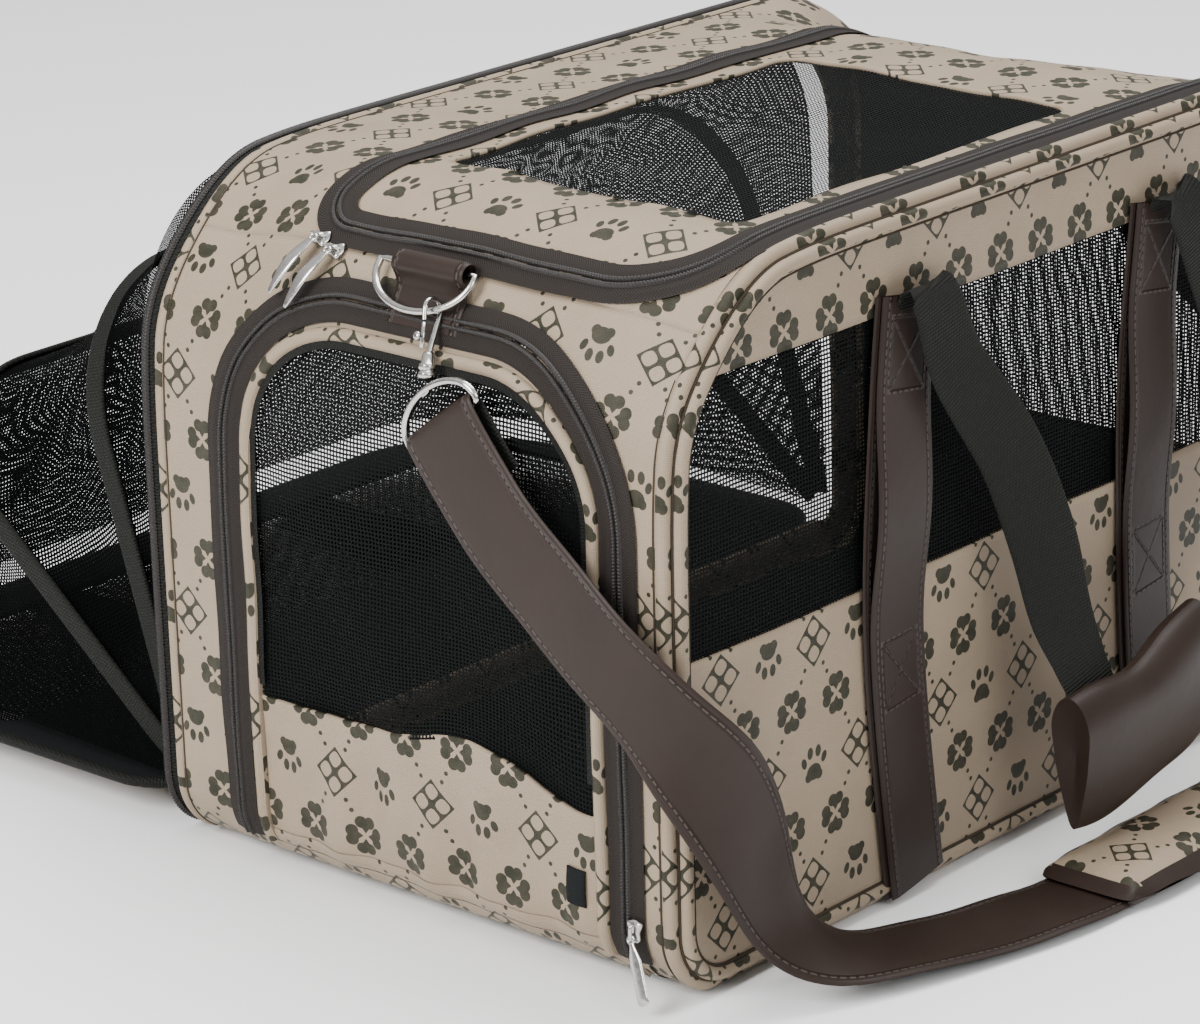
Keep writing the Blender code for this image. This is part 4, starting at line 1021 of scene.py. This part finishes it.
def turned_down(grid, floor=-1.0):
    """How far points move when they turn down round the rear bend. Heights under floor count as floor."""
    y = grid[..., 1] - (LENGTH / 2 - TOP_R)
    z = np.maximum(grid[..., 2], floor) - (HEIGHT - TOP_R)
    cos, sin = math.cos(REAR_TURN), math.sin(REAR_TURN)
    return np.stack([0 * y, y * cos + z * sin - y, z * cos - y * sin - z], -1)


def at_rear(grids):
    """Hardware mirrored to the rear and turned down its bend."""
    return [(grid + turned_down(grid), uv, look) for grid, uv, look in mirrored(grids)]


def follow_ring(grid):
    """Rear strap lowered with its ring: its top turns with the ring, and the rest follows less and less."""
    shift = turned_down(grid, 0.235)
    shift[..., 1] *= smoothstep(grid[..., 2], 0.210, 0.245)
    shift[..., 2] *= smoothstep(grid[..., 2], 0.060, 0.235)
    return grid + shift


def wire_part(path, radius, sides, closed=False, scale=None):
    """Round wire as a part of a piece."""
    path = np.asarray(path, float)
    if closed:
        path = np.vstack([path, path[:2]])
    along = unit(np.gradient(path, axis=0))
    helper = np.broadcast_to([0.27, 0.85, -0.45], along.shape)
    grid, uv = sweep(path, np.cross(along, helper), ring_profile(radius, sides), scale)
    if closed:
        grid = grid[:-1]
        uv = uv[:-1]
        grid[-1] = grid[0]
    return grid, uv, 0


def slider_piece(name, centre, along, out, node):
    """Zip slider: a waisted shield with rounded edges and the bridge that holds its pull."""
    along, out = unit(arr(*along)), unit(arr(*out))
    across = np.cross(along, out)
    v = np.linspace(-1, 1, 15)
    half = 0.0040 * (0.82 + 0.26 * v - 0.10 * np.cos(v * 5)) * np.clip(1 - np.abs(v) ** 9, 0.02, 1) ** 0.35
    turn = np.linspace(0, 2 * np.pi, 17)
    ring = np.stack([np.sign(np.cos(turn)) * np.abs(np.cos(turn)) ** 0.55,
                     np.sign(np.sin(turn)) * np.abs(np.sin(turn)) ** 0.55], -1)
    thick = 0.0016 * np.clip(1 - np.abs(v) ** 10, 0.02, 1)
    grid = (arr(*centre) + v[:, None, None] * 0.0056 * along + ring[None, :, :1] * half[:, None, None]
            * across
            + ring[None, :, 1:] * thick[:, None, None] * out)
    uv = np.stack(np.broadcast_arrays(turn[None, :] * 0.004, v[:, None] * 0.0055), -1)
    t = np.linspace(-1, 1, 17)
    bridge = arr(*centre) + t[:,
                              None] * 0.0042 * along + (0.0012 + 0.0024
                                                        * np.sqrt(np.clip(1 - t ** 4, 0, 1)))[:, None] * out
    parts = [(grid, uv, 0), wire_part(bridge, 0.0009, 10)]
    add(from_grids(name.replace("slider", "slider_body"), parts, [METAL]), name, "nickel_metal", node)


def pull_piece(name, route, across, shape):
    """Metal tongue with rounded faces, its width given by shape along the way."""
    path = smooth_path(route, 40)
    t = np.linspace(0, 1, 40)
    wide = shape(t)
    side, normal = frames(path, np.broadcast_to(arr(*across), path.shape))
    turn = np.linspace(0, 2 * np.pi, 19)
    ring = np.stack([np.sign(np.cos(turn)) * np.abs(np.cos(turn)) ** 0.6, np.sin(turn)], -1)
    thick = 0.0008 * np.clip(1 - np.abs(2 * t - 1) ** 14, 0.05, 1)
    grid = (path[:, None] + side[:, None] * ring[None, :, :1] * wide[:, None, None]
            + normal[:, None] * ring[None, :, 1:] * thick[:, None, None])
    uv = np.stack(np.broadcast_arrays(turn[None, :] * 0.002, t[:, None] * 0.03), -1)
    start = path[0]
    eye = start + np.stack([0 * turn, 0 * turn, 0 * turn], -1) + np.cos(turn)[:, None] * side[0] * 0.0017
    eye = eye + np.sin(turn)[:, None] * unit(path[3] - path[0]) * 0.0017
    parts = [(grid, uv, 0), wire_part(eye[:-1], 0.0008, 8, closed=True)]
    add(from_grids(name.replace("pull", "pull_tongue"), parts, [METAL]), name, "nickel_metal", name)


def sliders():
    """The door's slider at the foot of its zip, and the flap's two at its front left corner."""
    off = 0.0036
    x, y, z = DOOR_X + DOOR_HALF + 0.0065, -LENGTH / 2 - off, 0.035
    slider_piece("front_slider", (x, y, z), (0, 0, 1), (0, -1, 0), "front_slider")

    def blade(t):
        return 0.0012 + 0.0021 * smoothstep(t, 0.02,
                                            0.35) * np.sqrt(np.clip(1 - np.clip((t - 0.93) / 0.07, 0,
                                                                                1) ** 2, 0.02, 1))

    def leaf(t):
        return 0.0009 + 0.0024 * np.sin(np.pi * np.clip(t, 0, 1) ** 0.8) ** 0.9

    pull_piece("front_pull",
               [(x + 0.007 * t, y - 0.0030 - 0.004 * t, z - 0.003 - 0.013 * t) for t in (0, 1, 2)],
               (1, 0, 0), blade)
    for name, (x, angle) in {"top_slider_left": (-0.0665, 37.0), "top_slider_right": (-0.0545, 40.0)}.items():
        a = math.radians(angle)
        slider_piece(name, (x, *bend_point(angle + 6.5, off)), (1, 0, 0), (0, -math.sin(a), math.cos(a)),
                     name)
        drape = [(0.0, 8.0, 0.0042), (-0.006, 17.0, 0.0060), (-0.012, 27.0, 0.0055)]
        pull_piece(name.replace("slider", "pull"),
                   [(x + shift, *bend_point(angle + turn, off + lift)) for shift, turn, lift in drape],
                   (1, 0, 0), leaf)


EYE = arr(0.0298506, -0.2835421, 0.2718277)
STRAP_SIDE, STRAP_DOWN = arr(0.80, 0, 0.60), arr(0.60, 0, -0.80)


def half_oval(half, depth, count=36):
    """Half an oval below the line v = 0."""
    turn = np.linspace(0, np.pi, count)
    return np.stack([-half * np.cos(turn), depth * np.sin(turn)], -1)


def ring_hardware():
    """Leather loop, D-ring, snap hook with its swivel and thumb bolt, and the strap's ring, front and rear."""
    hang = arr(0.008, *bend_point(46.5, 0.0079))
    drop = arr(0, -0.645, -0.764)
    centre = arr(0.012, *bend_point(46.5, 0.0079))
    angles = [64, 60, 56, 52.5, 50.5]
    lifts = [0.0016, 0.0022, 0.0026, 0.0032, 0.0060]
    tail = [arr(0.012, *bend_point(a, lift)) for a, lift in zip(angles, lifts)]
    out_dir, down_dir = arr(0, -0.725, 0.688), arr(0, -0.688, -0.725)
    beta = np.radians(np.linspace(35, 265, 15))
    curl = [centre + 0.0053 * (math.cos(b) * down_dir + math.sin(b) * out_dir) for b in beta]
    path = smooth_path(tail + curl, 70)
    loop_parts = band_faces(path, np.broadcast_to([1.0, 0, 0], path.shape), 0.044, 0.0018, 17)
    ring = np.vstack([[[-0.029, 0.0]], half_oval(0.029, 0.019) + [0, 0.003], [[0.029, 0.0]],
                      np.stack([np.linspace(0.025, -0.025, 8), np.zeros(8)], -1)])
    ring_path = hang + ring[:, :1] * arr(1, 0, 0) + ring[:, 1:] * drop
    ring_parts = [wire_part(ring_path, 0.0018, 14, closed=True)]

    low = arr(0.022, -0.2685546, 0.3039437)
    down = unit(arr(0.22, -0.42, -0.90))
    out = unit(arr(0, -1, 0) - down * down.dot([0, -1, 0]))
    claw = [low + out * u - down * v for u, v in
            ((0.0004, -0.0235), (-0.0010, -0.0160), (-0.0030, -0.0080), (-0.0046, -0.0010), (-0.0040, 0.0036),
             (0.0, 0.0056), (0.0038, 0.0036), (0.0050, 0.0), (0.0046, -0.0050))]
    claw = smooth_path(claw, 60)
    taper = 1.25 - 0.35 * smoothstep(np.linspace(0, 1, 60), 0.0, 0.9)
    body = lathe(low + down * 0.0185, down,
                 [(0, 0.0006), (0.0006, 0.0022), (0.0022, 0.0030), (0.0058, 0.0032), (0.0064, 0.0040),
                                             (0.0084, 0.0042), (0.0090, 0.0034), (0.0096, 0.0034),
                  (0.0102, 0.0042),
                                             (0.0122, 0.0042), (0.0130, 0.0032), (0.0132, 0.0004)])
    eye_path = EYE + (half_oval(0.0036, 0.0030, 14)[:, :1] * STRAP_SIDE * 1.1
                      + (half_oval(0.0036, 0.0030, 14)[:, 1:] - 0.0010) * down)
    hook_parts = [wire_part(claw, 0.0012, 12, scale=taper), (*body, 0), wire_part(eye_path, 0.0009, 8)]
    gate = low + out * 0.0046
    bolt = lathe(gate + down * 0.0060, down,
                 [(0, 0.0002), (0.0004, 0.0011), (0.0115, 0.0012), (0.0120, 0.0003)], 12)
    thumb = lathe(gate + down * 0.0130 + out * 0.0006, out,
                  [(0, 0.0009), (0.0022, 0.0009), (0.0026, 0.0020), (0.0036, 0.0021), (0.0041, 0.0014),
                   (0.0042, 0.0002)], 14)

    d = half_oval(0.026, 0.015) * [1, -1] + [0, 0.015]
    d = np.vstack([[[-0.026, 0.0175]], d, [[0.026, 0.0175]],
                   np.stack([np.linspace(0.0235, -0.0235, 8), np.full(8, 0.0180)], -1)])
    strap_ring = EYE + d[:, :1] * STRAP_SIDE + d[:, 1:] * STRAP_DOWN
    plan = (("ring_loop", loop_parts, "carrier_body", "brown_leather", [CARRY_TAB], "ring_tab_{}"),
            ("d_ring", ring_parts, "ring_{}", "nickel_metal", [METAL], "ring_{}"),
            ("trigger_hook", hook_parts, "snap_hook_{}", "nickel_metal", [METAL], "snap_hook_{}"),
            ("hook_gate", [(*bolt, 0), (*thumb, 0)], "hook_bolt_{}", "nickel_metal", [METAL], "hook_bolt_{}"),
            ("strap_d_ring", [wire_part(strap_ring, 0.0018, 14, closed=True)], "strap_ring_{}",
             "nickel_metal", [METAL],
             "strap_ring_{}"))
    for label, body_name, slot, looks, node, parts in ((p[0], p[2], p[3], p[4], p[5], p[1]) for p in plan):
        for end in ("front", "rear"):
            made = from_grids(f"{label}_{end}", parts if end == "front" else at_rear(parts), looks)
            add(made, body_name.format(end), slot, node.format(end))


# ---------------------------------------------------------------- shoulder strap and pad
PAD_X, PAD_Y, PAD_TOP = (0.204, 0.266), (-0.062, 0.140), 0.017


def strap_parts(path, across, wide, thick):
    """Leather face and webbing back of a strap; the leather is crowned a little."""
    parts, count = [], 19
    for face, look, crown in ((-1, 0, 0.0004), (1, 1, 0.0)):
        grid, _ = sweep(path, across, face_profile(wide, thick, face, count, crown))
        if face == -1:
            grid = grid[:, ::-1]
        uv = np.stack(np.broadcast_arrays(spread(wide, count)[None, :], run_length(path)[:, None]), -1)
        parts.append((grid, uv, look))
    return parts


def shoulder_strap():
    """The strap folds over its ring, crosses the door, turns at the near corner and runs along the floor
    to the pad; it comes out of the pad's other end and climbs to the rear ring."""
    bar = EYE + STRAP_DOWN * 0.018
    back = arr(0, 1, 0)
    fold = [(bar + STRAP_DOWN * 0.034 + back * 0.0040, STRAP_SIDE),
            (bar + STRAP_DOWN * 0.018 + back * 0.0036, STRAP_SIDE),
            (bar + STRAP_DOWN * 0.005 + back * 0.0036, STRAP_SIDE),
            (bar - STRAP_DOWN * 0.0026 + back * 0.0024, STRAP_SIDE),
            (bar - STRAP_DOWN * 0.0038, STRAP_SIDE), (bar - STRAP_DOWN * 0.0026 - back * 0.0024, STRAP_SIDE),
            (bar + STRAP_DOWN * 0.005 - back * 0.0034, STRAP_SIDE)]
    hang = [((0.0600, -0.2875, 0.2330), (0.76, 0, 0.65)), ((0.0820, -0.2895, 0.2120), (0.70, 0, 0.71)),
            ((0.1070, -0.2900, 0.1920), (0.68, 0, 0.73)), ((0.1440, -0.2895, 0.1640), (0.66, 0, 0.75)),
            ((0.1700, -0.2850, 0.1420), (0.58, 0.10, 0.80)), ((0.1850, -0.2700, 0.1150), (0.32, 0.45, 0.80)),
            ((0.1875, -0.2500, 0.0760), (0.05, 0.75, 0.62)), ((0.1900, -0.2290, 0.0330), (-0.35, 0.85, 0.30)),
            ((0.2010, -0.2010, 0.0115), (-0.66, 0.74, 0.00)),
            ((0.2120, -0.1700, 0.0078), (-0.80, 0.55, 0.02)),
            ((0.2220, -0.1350, 0.0056), (-0.95, 0.25, 0.04)), ((0.2300, -0.1050, 0.0046), (-1, 0.05, 0.04)),
            ((0.2350, PAD_Y[0] - 0.012, 0.0034), (-1, 0, 0)),
            ((0.2350, PAD_Y[0] + 0.004, 0.0036), (-1, 0, 0))]
    rows = relaxed(smooth_path([(*p, *w) for p, w in fold + hang], 300), 0.050, 160)
    path, across = rows[:, :3], rows[:, 3:]
    run = run_length(path)
    _, normal = frames(path, across)
    path = path + normal * (0.0004 * np.sin(run * 61) + 0.0003
                            * np.sin(run * 97 + 1))[:, None] * smoothstep(run, 0.06, 0.10)[:, None]
    parts = strap_parts(path, across, 0.050, 0.0026)
    add(from_grids("carry_strap_front", parts, [CARRY_LEATHER, WEBBING]), "carrier_body", "brown_leather",
        "shoulder_strap_front")
    rear = []
    for grid, uv, look in mirrored(parts):
        grid = grid + np.clip((0.208 - grid[..., 1:2]) / 0.143, 0, 1) * [0, 0.078, 0]
        rear.append((follow_ring(grid), uv, look))
    add(from_grids("carry_strap_rear", rear, [CARRY_LEATHER, WEBBING]), "carrier_body", "brown_leather",
        "shoulder_strap_rear")


def pillow(name, low, high, base, top, radius, look_of, looks, crown, cell):
    """Stuffed pad with a rounded outline: it is flat below and swells above, thinning to a seam at its edge.
    look_of(x, y) gives the material number of each face."""
    mid, half = (arr(*low) + arr(*high)) / 2, (arr(*high) - arr(*low)) / 2
    u, v = np.meshgrid(np.linspace(-1, 1, int(2 * half[0] / cell)),
                       np.linspace(-1, 1, int(2 * half[1] / cell)), indexing="ij")
    corner = 0.5 * (np.abs(u) ** 6) * (np.abs(v) ** 6)
    reach_x, reach_y = half[0] - radius * corner, half[1] - radius * corner
    x, y = mid[0] + u * reach_x, mid[1] + v * reach_y
    edge = np.minimum((1 - np.abs(u)) * half[0], (1 - np.abs(v)) * half[1])
    full = smoothstep(edge, -0.001, (top - base) * 1.1) ** 0.55
    level = base + (top - base) * 0.5 * 0.6
    rise = (top - level) * (full * (1 - crown) + crown * (1 - u * u) * (1 - v * v) * full)
    puck = 0.0006 * np.sin(y * 150) * np.exp(-edge / 0.006)
    upper = np.stack([x, y, level + rise + puck], -1)
    lower = np.stack([x, y, level - (level - base) * smoothstep(edge, -0.001, 0.008)], -1)[:, ::-1]
    uv = np.stack([x, y], -1)
    made = from_grids(name, [(upper, uv, 0), (lower, uv[:, ::-1], 0)], looks)
    mesh = made.data
    centre = np.zeros(len(mesh.polygons) * 3)
    mesh.polygons.foreach_get("center", centre)
    centre = centre.reshape(-1, 3)
    mesh.polygons.foreach_set("material_index", look_of(centre).astype(np.int32))
    return made


def shoulder_pad():
    """Pad on the strap: printed top, leather border and back."""
    def look_of(c):
        edge = np.minimum(np.minimum(c[:, 0] - PAD_X[0], PAD_X[1] - c[:, 0]),
                          np.minimum(c[:, 1] - PAD_Y[0], PAD_Y[1] - c[:, 1]))
        return np.where((edge < 0.007) | (c[:, 2] < 0.006), 1, 0)

    made = pillow("strap_pad", (PAD_X[0], PAD_Y[0]), (PAD_X[1], PAD_Y[1]), 0.0010, PAD_TOP, 0.010, look_of,
                  [FABRIC, LEATHER], 0.25, 0.0018)
    add(made, "carrier_body", "printed_fabric", "shoulder_pad")


# ---------------------------------------------------------------- handles
def grip_parts(path, across, tall, thick, droop=1.0):
    """Leather wrap round the webbing: fat and round above, closed flat below. across points up the wrap, and
    droop is how much longer its lower half is."""
    turn = np.linspace(0, 2 * np.pi, 41)
    up = np.cos(turn)
    width = thick / 2 * (0.52 + 0.48 * smoothstep(up, -0.9, 0.5))
    height = np.sign(up) * np.abs(up) ** 0.8 * tall / 2 * np.where(up < 0, droop, 1.0)
    profile = np.stack([height, np.sin(turn) * width], -1)
    grid, uv = sweep(path, across, profile)
    run = run_length(path)
    swell_out = 1 + 0.05 * np.sin(run * 90)[:, None, None] * np.ones_like(grid[..., :1])
    middle = path[:, None]
    return middle + (grid - middle) * swell_out, uv


def grips_and_webbing():
    """Right handle: webbing from both sewn straps into the leather grip that hangs at the near side."""
    front = [((0.1668, -0.100, 0.268), (0, 1, 0)), ((0.1680, -0.100, 0.292), (0, 1, 0)),
             ((0.1718, -0.0995, 0.3015), (0, 1, 0)),
             ((0.1765, -0.0965, 0.292), (0, 1, 0)), ((0.181, -0.088, 0.262), (0.1, 1, 0.1)),
             ((0.190, -0.060, 0.215), (0.3, 0.95, 0.1)),
             ((0.197, -0.044, 0.170), (0.4, 0.9, 0)), ((0.203, -0.037, 0.132), (0.3, 0.95, 0)),
             ((0.2115, -0.033, 0.108), (0.1, 1, 0)), ((0.2175, -0.030, 0.091), (0, 1, 0)),
             ((0.2190, -0.029, 0.074), (0, 1, 0))]
    rear = [((0.1668, 0.100, 0.268), (0, -1, 0)), ((0.1680, 0.100, 0.292), (0, -1, 0)),
            ((0.1718, 0.1005, 0.3015), (0, -1, 0)),
            ((0.178, 0.107, 0.288), (0, -1, 0)), ((0.184, 0.116, 0.255), (0, -1, 0)),
            ((0.196, 0.124, 0.205), (0, -0.95, 0.2)),
            ((0.206, 0.116, 0.160), (0, -0.7, 0.5)), ((0.214, 0.096, 0.122), (0, -0.5, 0.8)),
            ((0.219, 0.064, 0.094), (0, -0.3, 1)),
            ((0.2195, 0.050, 0.088), (0, -0.3, 1))]
    for label, stations in (("front", front), ("rear", rear)):
        rows = smooth_path([(*p, *w) for p, w in stations], 150)
        parts = band_faces(rows[:, :3], rows[:, 3:], 0.036, 0.0020, 13)
        add(from_grids(f"handle_webbing_{label}", parts, [WEBBING]), "right_handle", "black_webbing",
            f"right_handle_{label}")
    line = smooth_path([(0.219, -0.050, 0.068, 0, -0.2, 1), (0.222, 0.0, 0.072, 0, -0.2, 1),
                        (0.219, 0.060, 0.090, 0, -0.3, 1)], 60)
    grid, uv = grip_parts(line[:, :3], line[:, 3:], 0.056, 0.025, droop=1.45)
    caps = []
    for index, order in ((0, 1), (-1, -1)):
        ring = grid[index]
        mid = ring.mean(axis=0)
        cap = np.stack([ring, mid + (ring - mid) * 0.80 + 0.0008 * order * arr(0, 1, 0),
                        mid + (ring - mid) * 0.02 + 0.0040 * order * arr(0, 1, 0)], 0)
        caps.append((cap[::order], np.stack([uv[:3, :, 0], uv[:3, :, 1]], -1), 0))
    made = from_grids("leather_grip", [(grid, uv, 0)] + caps, [LEATHER])
    add(made, "right_handle", "brown_leather", "right_grip")


def left_handle():
    """Second handle, folded flat under the outer panel, with the sewn straps it hangs from."""
    x, z = -0.4495, 0.0060
    for label, sign in (("front", -1), ("rear", 1)):
        route = [((x + 0.0035, sign * STRAP_Y, z), (0, 1, 0)),
                 ((x + 0.090, sign * 0.085, z), (0.1 * sign, 1, 0)),
                 ((x + 0.170, sign * 0.060, z), (0.3 * sign, 1, 0)),
                 ((x + 0.208, sign * 0.038, z), (0.4 * sign, 1, 0))]
        rows = smooth_path([(*p, *w) for p, w in route], 60)
        parts = band_faces(rows[:, :3], rows[:, 3:], 0.036, 0.0020, 11)
        add(from_grids(f"left_webbing_{label}", parts, [WEBBING]), "left_handle", "black_webbing",
            f"left_handle_{label}")
        rows = np.linspace((PIVOT[0] - STRAP_TOP + PIVOT[2], sign * STRAP_Y, 0.0142),
                           (PIVOT[0] - 0.010, sign * STRAP_Y, 0.0142), 60)
        sideways = np.broadcast_to([0.0, 1.0, 0.0], rows.shape)
        parts = band_faces(rows, sideways, 0.040, 0.0018, 13, along=run_length(rows)[::-1])
        add(from_grids(f"left_sewn_strap_{label}", parts, [SEWN_LEATHER]), "outer_panel", "brown_leather",
            f"left_strap_{label}")
    line = np.linspace((x + 0.231, -0.062, z), (x + 0.231, 0.062, z), 50)
    grid, uv = grip_parts(line, np.broadcast_to([1.0, 0, 0], line.shape), 0.052, 0.0098)
    add(from_grids("left_leather_grip", [(grid, uv, 0)], [LEATHER]), "left_handle",
                  "brown_leather", "left_grip")


# ---------------------------------------------------------------- fold-out room
HOOPS = ((2.5, 0.3000, 0.2580, 0.078), (16.5, 0.2520, 0.2540, 0.080), (51.0, 0.2530, 0.2545, 0.080),
         (88.0, 0.2930, 0.2600, 0.080))


def hoop(angle, reach, half, radius, start=0.012, count=240):
    """U-shaped line from the front foot over the top to the rear foot, leaning angle degrees from upright."""
    turn = np.radians(np.linspace(0, 90, 20))
    side = np.stack([-half + radius - radius * np.cos(turn), reach - radius + radius * np.sin(turn)], -1)
    line = np.vstack([[-half, start], side, (side * [-1, 1])[::-1], [half, start]])
    line = even(np.hstack([line, line[:, :1] * 0]), count)[:, :2]
    a = math.radians(angle)
    return np.stack([PIVOT[0] - line[:, 1] * math.sin(a), line[:, 0], PIVOT[2] + line[:, 1] * math.cos(a)],
                    -1)


def room():
    """Black net between the opening, two ribs and the outer panel. Each bay sags a little inwards."""
    lines = [hoop(*h) for h in HOOPS]
    for i in range(3):
        a, b = lines[i], lines[i + 1]
        w = np.linspace(0, 1, 26)[None, :, None]
        grid = a[:, None] * (1 - w) + b[:, None] * w
        run = run_length(a)[:, None]
        mid = arr(PIVOT[0], 0, PIVOT[2])
        inward = unit(mid - grid)
        span = np.linalg.norm(a - b, axis=1)[:, None]
        sag = (0.085 * span + 0.0012 * np.sin(run * 70 + i * 2) + 0.0008
               * np.sin(run * 170 + w[..., 0] * 4)) * np.sin(np.pi * w[..., 0])
        grid = grid + inward * sag[..., None]
        uv = np.stack(np.broadcast_arrays(run, span * w[..., 0]), -1)
        piece = from_grids(f"room_net_{i + 1}", [(grid[::-1], uv[::-1], 0)], [FINE_NET])
        top_a, top_b = a[len(a) // 2], b[len(b) // 2]
        tuple(top_a)
        tuple(top_b)
        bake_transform(piece)
        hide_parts(f"fold_net_{i + 1}")
    for i in (1, 2):
        angle, reach, half, radius = HOOPS[i]
        path = hoop(angle, reach, half, radius, 0.010, 200)
        a = math.radians(angle)
        across = np.broadcast_to([math.cos(a), 0.0, math.sin(a)], path.shape)
        parts = band_faces(path, across, 0.0125, 0.0034, 11)
        add(from_grids(f"rib_band_{i}", parts, [BINDING]), f"rib_{i}", "black_webbing", f"rib_{i}")


def outer_panel():
    """The left side wall, folded out as the room's floor: lining above, print below, its net window and
    the binding round its edge."""
    level = PIVOT[2] - 0.0065 - 0.0004
    us, vs = cells(PIVOT[0] - 0.298, PIVOT[0] - 0.006), cells(-0.264, 0.264)

    def depth(x, y, grow=0.0):
        far = x < PIVOT[0] - 0.152
        radius = np.where(far, TOP_R, LOW_R) + grow
        return round_box(x - PIVOT[0] + 0.152, y, 0.146 + grow, 0.264 + grow, radius)

    def window(x, y):
        return round_box(x - PIVOT[0] + 0.20125, y, 0.0640, 0.250, 0.010)

    def place(x, y, off=0.0):
        return np.stack([x, y, level + off + 0.0004 * np.sin(x * 60) * np.sin(y * 44)], -1)

    made = cut_sheet("room_floor", us, vs, lambda x, y: np.maximum(depth(x, y, -0.001), -window(x, y)),
                     place, [LINING, FABRIC], 0.0030)
    add(made, "outer_panel", "dark_lining", "left_side_panel")
    made = cut_sheet("room_floor_net", us, vs, lambda x, y: window(x, y) - 0.002, lambda x,
                     y: place(x, y, -0.0012), [FINE_NET])
    add(made, "outer_panel", "black_netting", "left_side_mesh")
    turn = np.radians(np.linspace(0, 90, 14))
    quarter = np.stack([np.cos(turn), np.sin(turn)], -1)
    mid = PIVOT[0] - 0.152
    near = arr(mid + 0.146 - LOW_R, 0.264 - LOW_R) + quarter * LOW_R
    far = arr(mid - 0.146 + TOP_R, 0.264 - TOP_R) + quarter[::-1] * [-TOP_R, TOP_R]
    loop = np.vstack([near, far, far[::-1] * [1, -1], near[::-1] * [1, -1]])
    loop = even(np.hstack([np.vstack([loop, loop[:1]]), np.full((len(loop) + 1, 1), level - 0.0016)]),
                300)[:-1]
    add(tube("room_floor_binding", loop, 0.0030, BINDING, 10, closed=True), "outer_panel", "black_webbing")


# ---------------------------------------------------------------- mat
def floor_mat():
    """Loose padded mat on the base board."""
    made = pillow("padded_mat", (-0.149, -0.235), (0.149, 0.235), 0.0084, 0.0215, 0.018,
                  lambda c: np.zeros(len(c)), [LINING], 0.2, 0.004)
    add(made, "floor_mat", "dark_lining", "floor_mat")


CARRY_TAB = leather("tab_leather", edges=(0.0030, 0.0410))

wrap_panels()
front_door()
top_flap()
zips()
beads()
right_side()
left_opening()
side_straps()
sliders()
ring_hardware()
shoulder_strap()
shoulder_pad()
grips_and_webbing()
left_handle()
room()
outer_panel()
floor_mat()

board_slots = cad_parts["base_board"].data.materials
board_slots.clear()
board_slots.append(BOARD)


# ---------------------------------------------------------------- stage, light and camera
def stage():
    """Wide flat pale floor, soft light and the camera."""
    white = Look("pale_floor", (0.94, 0.94, 0.94), 0.7)
    x, y = np.meshgrid(np.linspace(-30, 30, 13), np.linspace(-30, 30, 13), indexing="ij")
    grid, uv = np.stack([x, y, 0 * x - 0.0013], -1), np.stack([x, y], -1)
    from_grids("floor", [(grid, uv, 0)], [white.material])

    world = bpy.data.worlds.new("studio")
    bpy.context.scene.world = world
    world.use_nodes = True
    tree, sky = world.node_tree, world.node_tree.nodes["Background"]
    sky.inputs["Color"].default_value = (1.0, 1.0, 1.0, 1)
    place, parts = tree.nodes.new("ShaderNodeTexCoord"), tree.nodes.new("ShaderNodeSeparateXYZ")
    tree.links.new(place.outputs["Generated"], parts.inputs[0])
    level = Wire(tree, parts.outputs[2]) * 0.95 + 0.28
    tree.links.new(level.math("MAXIMUM", 0.22).socket, sky.inputs["Strength"])
    for name, place, aim, size, power in (("key", (-0.2, -2.3, 1.6), (0, 0, 0.15), 1.2, 92),
                                          ("fill", (2.4, -0.7, 1.6), (0, 0, 0.15), 1.2, 24),
                                          ("top", (0.0, 0.6, 2.5), (0, 0, 0.2), 1.6, 70)):
        lamp = bpy.data.lights.new(name, "AREA")
        lamp.size, lamp.energy = size, power
        made = bpy.data.objects.new(name, lamp)
        made.location = place
        made.rotation_euler = (Vector(aim) - Vector(place)).to_track_quat("-Z", "Y").to_euler()
        bpy.context.scene.collection.objects.link(made)

    az, el, roll = math.radians(41.60), math.radians(18.93), math.radians(-1.59)
    forward = Vector((-math.sin(az) * math.cos(el), math.cos(az) * math.cos(el), -math.sin(el)))
    level = Vector((math.cos(az), math.sin(az), 0))
    rise = level.cross(forward)
    x_axis = level * math.cos(roll) + rise * math.sin(roll)
    y_axis = rise * math.cos(roll) - level * math.sin(roll)
    camera = bpy.data.objects.new("camera", bpy.data.cameras.new("camera"))
    camera.data.lens, camera.data.sensor_width = 135.2, 36
    camera.data.clip_start, camera.data.clip_end = 0.05, 50
    turn = Matrix((x_axis, y_axis, -forward)).transposed().to_4x4()
    camera.matrix_world = Matrix.Translation((1.3684, -1.6756, 0.8735)) @ turn
    bpy.context.scene.collection.objects.link(camera)
    bpy.context.scene.camera = camera


stage()
bpy.context.view_layer.update()
